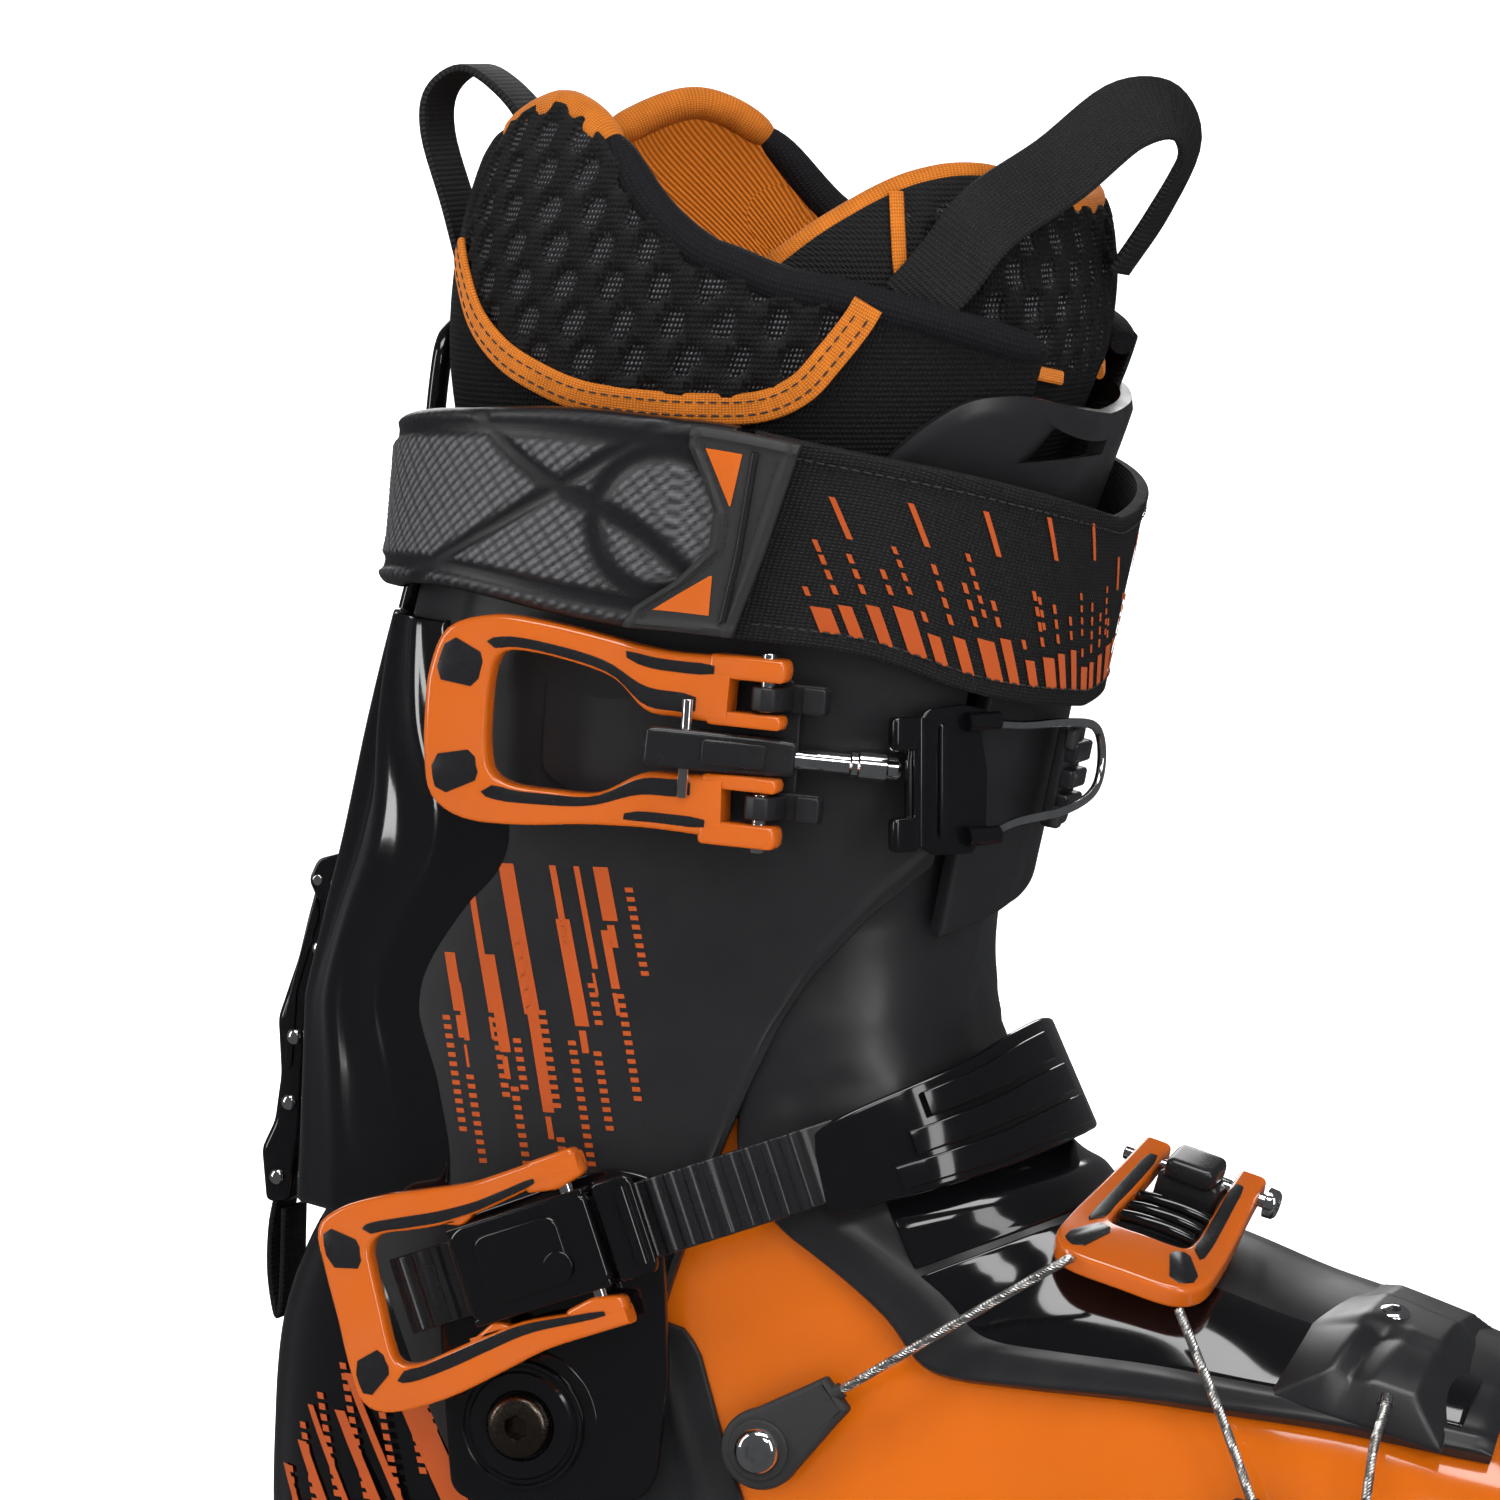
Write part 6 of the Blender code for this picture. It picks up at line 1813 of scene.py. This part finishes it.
def bail():
    """The black sleeve, chrome rod, hook plate and wire that the lever pulls."""
    pivot = joint_at("upper_bail_hinge")
    hook_low, hook_high = node_box("hook_plate")
    hook_centre = (hook_low + hook_high) / 2
    direction = (Vector((80.0, -46.2, 218.0)) - pivot).normalized()
    pull = axes(pivot, direction, UPPER_UP)
    sleeve = [(-8.4, -3.4), (-7, -4.0), (16, -4.0), (22.3, -3.6), (22.3, 3.6), (16, 4.0), (-7, 4.0),
              (-8.4, 3.4)]
    meshes = [plate_mesh("sleeve", sleeve, 5.0, moved(pull, 0, 0, 0), 0.9, 1.0),
              plate_mesh("sleeve", box_outline(13, 5.2), 1.0, moved(pull, 9.5, 0, 2.8), 0.4, 1.0)]
    add("upper_sleeve_fine", joined("sleeve", meshes), "satin_black", "upper_bail",
        ("upper_sleeve",))
    rings = [(1.8, 43.6), (2.5, 43.0), (2.5, 41.0), (3.0, 40.6), (3.0, 35.2), (2.6, 34.8), (2.6, 33.6),
             (2.2, 33.2), (2.2, 14)]
    add("upper_rod_fine", lathe_mesh("rod", rings, pivot, direction, 28), "chrome", "upper_bail",
        ("upper_rod",))
    hook = axes(hook_centre, (12, 13.5, 0), (0, 0, 1))
    body = [(-10.5, -9), (-8.5, -12.5), (-4, -15.2), (5, -15.2), (8.3, -11), (8.5, 2), (7.0, 9), (8.3, 14),
            (3, 15.2), (-6, 14.6), (-9.5, 10), (-10.5, 4)]
    hole = [(1.0 + 1.4 * x, 5.0 + 2.2 * y) for x, y in circle(1.0, 16)]
    meshes = [plate_mesh("hook", body, 2.0, hook, 0.5, 1.4, (hole,))]
    for y, half in ((11.6, 2.0), (-11.6, 2.0)):
        meshes.append(tube_mesh("hook", [point_in(hook, x, y, 1.6) for x in np.linspace(3.0, 10.4, 6)], half,
                                16))
    for y0, y1 in ((6.4, 13.4), (-14.0, -7.0)):
        meshes.append(plate_mesh("hook", [(-14.8, y0), (-8.5, y0), (-8.5, y1), (-14.8, y1)], 3.2,
                                 moved(hook, 0, 0, 1.2), 0.9, 1.5))
    meshes.append(tube_mesh("hook", [point_in(hook, -8.2, y, 1.4) for y in np.linspace(-13, 13, 12)], 1.4,
                            14))
    meshes.append(plate_mesh("hook", [(-3.5, -12), (2.5, -9), (2.5, 9), (-3.5, 12)], 1.2,
                             moved(hook, 0, 0, 1.3), 0.5, 1.6))
    add("hook_plate_fine", joined("hook", meshes), "gloss_black", "upper_bail",
        ("hook_plate",))
    route = [point_in(hook, 10.0, 11, 0.3), (98.0, -25, 226.0), (103.5, -10, 225.4), (105.6, 2, 223.5),
             (105.8, 6, 217), (105.2, 2, 210.5), (102.6, -10, 207.5), (96.8, -25, 206.4),
             point_in(hook, 10.0, -11, 0.3)]
    add("wire_bail_fine", tube_mesh("bail", flow(route, 12), 0.95, 14), "chrome", "upper_bail",
        ("wire_bail",))


def catch():
    """The toothed catch on the inner flap, with two soft pads."""
    matrix = axes((99.0, 1.0, 214), (0.21, 0, 1), (0, -1, 0))
    meshes = [plate_mesh("catch", box_outline(22, 13.8), 2.4, moved(matrix, 0, 0, 0), 0.6, 2.4)]
    for x, length in ((5.2, 4.4), (-0.4, 4.0), (-5.6, 4.0)):
        tooth = plate_mesh("catch", box_outline(length, 11.4), 4.4, moved(matrix, x, 0, 1.4), 0.8, 0.9)
        meshes.append(tooth)
    add("catch_fine", joined("catch", meshes), "satin_black", "cuff", ("catch_block",))
    pads = [plate_mesh("pad", box_outline(4.6, 4.0), 2.2, moved(matrix, x, 5.6, 1.8), 0.7,
                       1.4) for x in (8.2, -8.4)]
    add("catch_pads", joined("pads", pads), "soft_black", "cuff")


# ---------------------------------------------------------------- ankle buckle and strap


ANKLE_TILT = math.radians(19.0)
ANKLE_ALONG = Vector((math.cos(ANKLE_TILT), 0.0, math.sin(ANKLE_TILT)))
ANKLE_UP = Vector((-math.sin(ANKLE_TILT), 0.0, math.cos(ANKLE_TILT)))
PAWL_REACH = 19.5
ANKLE = axes(joint_at("ratchet_pawl_hinge") + Vector((0, -0.6, 0)) - ANKLE_ALONG * PAWL_REACH, ANKLE_ALONG,
             ANKLE_UP)
ANKLE_PAIRS = ((19.0, 17.8, 19.0, 13.4), (11, 18.4, 10.5, 13.6), (3, 18.2, 2, 12.6), (-5, 18.2, -5, 11.8),
               (-14, 19.6, -13, 11.7), (-24, 21.2, -20, 12.6), (-33, 21.4, -26, 13.6),
               (-38.8, 18.8, -29.2, 11.6),
               (-40, 10, -30, 7), (-40.6, 0, -30.6, 0), (-41.5, -10, -31.4, -8), (-41.2, -18, -31, -12.2),
               (-36, -21.8, -27, -13.8), (-24, -22.4, -20, -13.2), (-12, -20.8, -12, -12.4),
               (-1, -19.0, -3, -12.0), (9, -18.8, 8, -13.4), (19.0, -18.9, 19.0, -14.8))
ANKLE_HEIGHTS = (0, 0, 0, 0, 0.3, 0.8, 1.4, 2.0, 2.4, 2.5, 2.4, 2.0, 1.4, 0.8, 0.3, 0, 0, 0)
ANKLE_WALL = 2.8


def ankle_lever():
    """The orange lever round the ratchet, with its pin heads and inlays."""
    meshes = [bar_mesh("lever", ANKLE_PAIRS, ANKLE, ANKLE_HEIGHTS, ANKLE_WALL, 1.4)]
    for sign in (-1, 1):
        outline = [(6, sign * 12.6), (13, sign * 11.4), (19.4, sign * 13.0), (18.6, sign * 18.9),
                   (8, sign * 18.6)]
        meshes.append(plate_mesh("lever", outline[::sign], 5.4, ANKLE, 1.2, 1.4))
        tooth = [(-16, sign * 13.0), (-9.5, sign * 10.2), (-7.5, sign * 11.0), (-5, sign * 13.0)]
        meshes.append(plate_mesh("lever", tooth[::sign], 4.6, ANKLE, 0.9, 1.0))
    add("ankle_lever_fine", joined("lever", meshes), "lever_orange", "ankle_lever",
        ("ankle_lever",))
    inlays = [inlay_mesh("inlay", ANKLE_PAIRS, ANKLE, ANKLE_HEIGHTS, *spot, ANKLE_WALL - 0.05) for spot in
              ((1.2, 6.2, 0.08, 0.38), (6.8, 7.9, 0.16, 0.86), (10.0, 11.1, 0.16, 0.86),
               (11.6, 16.6, 0.08, 0.38))]
    add("ankle_lever_inlays", joined("inlays", inlays), "satin_black", "ankle_lever")
    refined("ankle_lever_pin", "chrome", "lower", 0.3)


def ratchet():
    """The base plate, the glossy housing over the ladder, and the pawl's clip."""
    base_low, base_high = node_box("ankle_base")
    side = axes((0, (base_low.y + base_high.y) / 2, 0), (1, 0, 0), (0, 0, 1))
    outline = [(-16, 67), (-9, 64.6), (20, 64.6), (28, 70), (31, 92), (29.5, 134), (18, 136), (-14, 124),
               (-18.6, 104), (-17.5, 84)]
    meshes = [plate_mesh("base", outline, 2.8, side, 0.9, 5.0),
              plate_mesh("base", circle(16.2, 48, 0, PIVOT_Z), 3.6, side, 0.6)]
    add("ankle_base_fine", joined("base", meshes), "gloss_black", "lower", ("ankle_base",))
    cap = [(-13.2, -9.0), (-10.5, -10.5), (13, -10.5), (18.2, -9.2), (18.2, 9.2), (13, 10.5), (-10.5, 10.5),
           (-13.2, 9)]
    meshes = [plate_mesh("housing", cap, 4.6, moved(ANKLE, 0, 0, 0.6), 1.4, 1.6),
              plate_mesh("housing", box_outline(19, 14.5), 1.6, moved(ANKLE, 1.5, 0, 3.0), 0.7, 3.2),
              plate_mesh("housing", circle(3.2, 28, 8.6, -3.4), 0.8, moved(ANKLE, 0, 0, 3.9), 0.3)]
    for sign in (-1, 1):
        wall = [(-13, sign * 8.8), (18, sign * 8.8), (18, sign * 10.4), (-13, sign * 10.4)]
        meshes.append(plate_mesh("housing", wall[::sign], 8.6, moved(ANKLE, 0, 0, -1.6), 0.5, 0.6))
    add("ratchet_housing_fine", joined("housing", meshes), "gloss_black", "lower",
        ("ratchet_housing",))
    meshes = []
    clip = [(-4.4, -10.4), (3.4, -10.4), (4.4, -8.6), (4.4, 8.6), (3.4, 10.4), (-4.4, 10.4)]
    meshes.append(plate_mesh("clip", clip, 2.5, moved(ANKLE, 24.0, 0, 0.6), 0.8, 1.2))
    meshes.append(tube_mesh("clip", [point_in(ANKLE, 25.6, y, 1.6) for y in np.linspace(-8.2, 8.2, 10)], 1.5,
                            16))
    add("ratchet_clip", joined("clip", meshes), "gloss_black", "ratchet_pawl",
        ("ratchet_pawl",))
    washer_parts("lateral", -1)
    washer_parts("medial", 1)


def washer_parts(name, side):
    """A pivot's grooved disc and its dark bolt with a hexagon socket."""
    low, high = node_box("pivot_washer_" + name)
    seat = low.y if side > 0 else -high.y
    rings = [(0.3, 1.5), (6.9, 1.5), (7.4, 1.9), (10.8, 1.9), (11.3, 1.4), (12.0, 1.4), (12.5, 1.9),
             (13.1, 1.9), (13.4, 1.5), (13.4, 0.0)]
    add("pivot_disc_" + name, lathe_mesh("disc", rings, (0, side * seat, PIVOT_Z), (0, side, 0), 64),
        "gloss_black", "lower", ("pivot_washer_" + name,))
    low, high = node_box("pivot_bolt_" + name)
    tip = high.y if side > 0 else -low.y
    head = tip - 2.6
    rings = [(0.05, 0.2, 1), (2.5, 0.2, 1), (2.5, 2.3, 1), (2.75, 2.6, 1), (5.2, 2.6), (6.0, 2.2),
             (6.6, 1.4), (6.7, 0.0), (4.0, -0.2), (4.0, -9.0)]
    add("pivot_bolt_fine_" + name, lathe_mesh("bolt", rings, (0, side * head, PIVOT_Z), (0, side, 0), 48),
        "dark_steel", "lower", ("pivot_bolt_" + name,))


LADDER_HALF = 8.0
LADDER_WALL = 2.6


def ladder():
    """The ribbed ladder through the ratchet."""
    path = [point_in(ANKLE, place, 0, 0) for place in (-29, -12, 8, 26, 38, 50, 60, 68)]
    depth = -55.1
    inward = (0, 0, 0, 0, 0.4, 2.2, 5.0, 8.6)
    path = [Vector((v.x, depth + d, v.z)) for v, d in zip(path, inward)]
    centres = flow(path, 26)
    stations = []
    for centre, along, gone in zip(centres, directions(centres), distances(centres)):
        normal = along.cross(ANKLE_UP).normalized()
        rib = 0.0
        if gone < 30 or gone > 55:
            phase = gone / 4.1 % 1.0
            rib = 0.75 * min(1.0, max(0.0, 1.0 - abs(phase - 0.5) * 3.2) * 2.0)
        if gone > 90:
            rib *= max(0.0, 1 - (gone - 90) / 3)
        stations.append((centre + normal * rib / 2, ANKLE_UP, normal, LADDER_HALF, (LADDER_WALL + rib) / 2,
                         0.5))
    add("ladder", sweep_mesh("ladder", stations), "satin_black", "lower", ("ankle_ladder",))


def ankle_strap():
    """The glossy strap over the instep, stepped where it crosses the ridge."""
    lateral = [(61.5, -49.2, 135), (72, -45, 139.5), (83, -38.5, 143.5), (92, -27, 147), (97, -13, 150)]
    medial = [(97, 13, 150), (92, 27, 147), (83, 38.5, 143.5), (72, 46, 138), (60, 51, 131), (45, 52.2, 121),
              (28, 52.2, 108), (12, 52.2, 94), (-6, 52.2, 76)]
    given = lateral + [(98.5, 0, 151)] + medial
    widths = [8.8, 10, 11, 11.8, 12.6, 12.8, 12.4, 11.5, 11, 10, 9, 9, 9, 9, 9]
    count = 14
    centres = flow(given, count)
    halves = np.interp(np.arange(len(centres)) / count, range(len(widths)), widths)
    stations = []
    for i, (centre, along) in enumerate(zip(centres, directions(centres))):
        flat = min(max((i / count - 8.5) / 2.0, 0.0), 1.0)
        outward = Vector((centre.x - 20, centre.y * 2.0, 0.45 * (centre.x - 20)))
        outward = outward.lerp(Vector((0, 60, 0)), flat)
        across = outward.cross(along).normalized()
        normal = along.cross(across).normalized()
        stations.append((centre, across, normal, float(halves[i]), 1.4, 1.0))
    meshes = [sweep_mesh("strap", stations, 5)]
    for share, start, end, rise in ((-0.62, 1.3, 5.4, 0.7), (-0.05, 1.7, 5.0, 1.3), (0.55, 2.0, 4.7, 1.9)):
        ridge = []
        for centre, across, normal, half, wall, _ in stations[int(start * count):int(end * count)]:
            ridge.append((centre + across * (share * half) + normal * (wall + rise / 2 - 0.2), across, normal,
                          half * 0.24, rise / 2 + 0.3, 0.5))
        meshes.append(sweep_mesh("strap", ridge, 4))
    add("ankle_strap_fine", joined("strap", meshes), "gloss_black", "lower", ("ankle_strap",))


# ---------------------------------------------------------------- instep buckle and cables


RIDGE_TILT = math.radians(17.0)
INSTEP_ALONG = Vector((math.cos(RIDGE_TILT), 0.0, -math.sin(RIDGE_TILT)))
INSTEP_DOWN = Vector((0, -math.cos(math.radians(23)), -math.sin(math.radians(23))))
INSTEP = axes(joint_at("instep_lever_hinge"), INSTEP_ALONG, INSTEP_DOWN)
INSTEP_PAIRS = ((-13.6, -4.4, -7.6, -4.4), (-14.6, 8, -7.8, 6), (-15.8, 20, -8.3, 15), (-16.6, 31, -8.8, 23),
                (-16.2, 40, -8.2, 28.6), (-11.5, 45.6, -5.5, 30.6), (0, 46.6, 0, 31.0),
                (11.5, 45.6, 5.5, 30.6),
                (16.2, 40, 8.2, 28.6), (16.6, 31, 8.8, 23), (15.8, 20, 8.3, 15), (14.6, 8, 7.8, 6),
                (13.6, -4.4, 7.6, -4.4))
INSTEP_HEIGHTS = (0, 0.2, 0.3, 0, -0.5, -1.2, -1.6, -1.2, -0.5, 0, 0.3, 0.2, 0)


def instep_lever():
    """The orange cable lever, its inlays and the curved bars that hold the cable loops."""
    add("instep_lever_fine", bar_mesh("lever", INSTEP_PAIRS, INSTEP, INSTEP_HEIGHTS, 2.5, 1.3),
        "lever_orange", "instep_lever", ("instep_lever",))
    inlays = [inlay_mesh("inlay", INSTEP_PAIRS, INSTEP, INSTEP_HEIGHTS, *spot, -2.45) for spot in
              ((0.5, 3.7, 0.10, 0.50), (8.3, 11.5, 0.10, 0.50), (4.1, 5.1, 0.16, 0.86),
               (6.9, 7.9, 0.16, 0.86))]
    add("instep_lever_inlays", joined("inlays", inlays), "satin_black", "instep_lever")
    bars = []
    for y, rise in ((12.0, 0.4), (17.0, 0.0), (22.0, -0.6)):
        path = [point_in(INSTEP, x, y + 1.6 * math.cos(x / 8), rise - 1.0 + 0.02 * x * x)
                for x in np.linspace(-7.6, 7.6, 12)]
        bars.append(tube_mesh("bar", path, 1.5, 14))
    add("instep_bars", joined("bars", bars), "gloss_black", "instep_lever")


def instep_base():
    """The bracket on the tongue with its latch block, its pin and the screw at its toe end."""
    seat = axes((127.3, 0, 128.6), INSTEP_ALONG, (0, 1, 0))
    latch = axes((129.0, -4.5, 134.0), INSTEP_ALONG, (0, 1, 0.25))
    meshes = [plate_mesh("bracket", box_outline(13.6, 14.6), 7.2, seat, 1.1, 1.8),
              plate_mesh("bracket", box_outline(11.0, 10.5), 4.6, latch, 1.4, 2.4)]
    add("instep_bracket", joined("bracket", meshes), "satin_black", "lower", ("instep_base",))
    refined("instep_pin", "chrome", "lower", 0.3)
    head = joint_at("instep_lever_hinge") + INSTEP_ALONG * 15.6
    rings = [(0.05, 1.4, 1), (1.2, 1.4, 1), (1.3, 2.4, 1), (2.6, 2.4), (3.1, 1.8), (3.2, 0.0)]
    add("instep_screw", lathe_mesh("screw", rings, head, INSTEP_ALONG, 30), "chrome", "lower")


ANCHOR_SPOTS = {"rear": ((50, 79), (66, 91)), "front": ((152, 62), (154.5, 74)),
                "low": ((172, 46), (174.6, 58))}


def anchors():
    """The teardrop cable anchors with their domed screws, and the sleeves where the cables enter."""
    for name, (screw, nose) in ANCHOR_SPOTS.items():
        node = "cable_anchor_" + name
        low, high = node_box(node)
        centre = Vector((screw[0], 0, screw[1]))
        tip = Vector((nose[0], 0, nose[1]))
        along = (tip - centre).normalized()
        reach = (tip - centre).length
        matrix = axes((centre.x, (low.y + high.y) / 2, centre.z), along, Vector((0, -1, 0)).cross(along))
        turns = [math.radians(a) for a in range(62, 299, 12)]
        outline = [(8.4 * math.cos(t), 8.4 * math.sin(t)) for t in turns]
        outline += [(reach * 0.8, -5.0), (reach + 0.5, -4.2), (reach + 0.5, 4.2), (reach * 0.8, 5.0)]
        meshes = [plate_mesh("anchor", outline, 4.6, matrix, 1.3, 0.8),
                  plate_mesh("anchor", circle(6.4, 36), 1.2, moved(matrix, 0, 0, 2.4), 0.5)]
        add("anchor_" + name, joined("anchor", meshes), "soft_black", "lower", (node,))
        low = node_box(node + "_screw")[0]
        rings = [(0.05, 1.3, 1), (2.0, 1.3, 1), (2.1, 2.9, 1), (3.2, 2.7), (4.2, 2.1), (4.8, 1.0),
                 (4.9, 0.1), (2.4, 0.0), (2.4, -5.0)]
        add("anchor_screw_" + name, lathe_mesh("screw", rings, (centre.x, low.y + 3.0, centre.z), (0, -1, 0),
                                               36), "chrome",
            "lower", (node + "_screw",))


GUIDE_RAISE = 4.4


def cable_guide():
    """The ridged guide moulded over the tongue, with its screw and the cable's hole."""
    places = steps(13.05, 11.35, 46)
    degrees = steps(-10, 49, 60)
    grid = foot(places[:, None], degrees[None, :], FOOT_TONGUE_OFFSET + 0.3)
    u, v = surface_places(grid)
    across = u / u[:, -1:]
    along = v / v[-1:]
    slope = np.minimum(np.minimum(across / 0.16, (1 - across) / 0.12),
                       np.minimum(along / 0.22, (1 - along) / 0.30))
    crest = np.clip(slope, 0, 1)
    notch = np.clip(1 - np.abs(along - 0.42 - 0.2 * across) / 0.12, 0, 1) * np.clip((across - 0.55) / 0.1, 0,
                                                                                    1)
    step = 0.8 * (np.clip((across - 0.34) / 0.05, 0, 1) - np.clip((across - 0.60) / 0.05, 0, 1))
    relief = GUIDE_RAISE * crest + (step - 1.6 * notch) * crest
    mesh = skin_mesh("guide", grid, 0.4, relief, 0.6, away=(120.0, 0.0, 20.0))
    add("cable_guide_fine", mesh, "tongue_black", "lower", ("cable_guide",))
    head = Vector(foot(12.15, 13.0, FOOT_TONGUE_OFFSET + GUIDE_RAISE - 0.2))
    outward = Vector(foot(12.15, 13.0, 20.0)) - Vector(foot(12.15, 13.0, 0.0))
    rings = [(0.05, 0.9, 1), (1.4, 0.9, 1), (1.5, 2.0, 1), (2.6, 1.8), (3.4, 1.0), (3.6, 0.0)]
    add("guide_screw", lathe_mesh("screw", rings, head, outward, 30), "chrome", "lower")


def cables():
    """The wire ropes: two between the anchors and the lever and one from the guide, with their ferrules."""
    rear = flow([(63.5, -49.8, 89.6), (67.2, -49.6, 92), (89, -48.4, 105.4), (110.5, -46.2, 118.5),
                 (114, -44.5, 120.4)], 8)
    mid = flow([(136.5, -45.2, 111), (139, -47, 106.5), (147, -50.2, 90), (153.6, -54.2, 76),
                (154.4, -54.6, 71.5)], 8)
    front = flow([(178.4, -41.0, 95), (178.5, -44.5, 92), (178, -50.5, 86), (177.4, -54.0, 76),
                  (175.6, -54.6, 60), (174.8, -54.6, 56)], 8)
    add("rope_rear", cable_mesh("rope", rear, 1.05), "cable_steel",
        ("lower", "instep_lever", rear[6], rear[-6]), ("cable_rear",))
    add("rope_mid", cable_mesh("rope", mid, 1.05), "cable_steel", ("lower", "instep_lever", mid[-6], mid[6]),
        ("cable_mid",))
    add("rope_front", cable_mesh("rope", front, 1.05), "cable_steel", "lower",
        ("cable_front",))
    for name, path in (("rear", rear[2:9]), ("mid", mid[-8:-2]), ("front", front[-8:-2])):
        path = [Vector(p) for p in path]
        sleeve = tube_mesh("ferrule", path, lambda t: 1.9 - 0.25 * abs(2 * t - 1), 18)
        add("ferrule_" + name, sleeve, "soft_black", "lower")
    tip = [Vector(p) for p in front[1:6]]
    add("ferrule_guide", tube_mesh("ferrule", tip, 1.8, 18), "chrome", "lower")


# ---------------------------------------------------------------- the boot


def main():
    camera()
    studio()
    grid = lower_shell()
    caster = Caster(grid)
    heel_covers(caster)
    heel_print(caster)
    sole()
    liner_foot()
    tongue()
    tongue_gloss()
    cuff()
    cuff_print()
    spine()
    walk_lever()
    collar()
    liner_tongue()
    pull_loops()
    strap_pad()
    strap_band()
    finger_tab()
    upper_lever()
    upper_base()
    bail()
    catch()
    ankle_lever()
    ratchet()
    ladder()
    ankle_strap()
    instep_lever()
    instep_base()
    anchors()
    cable_guide()
    cables()


main()
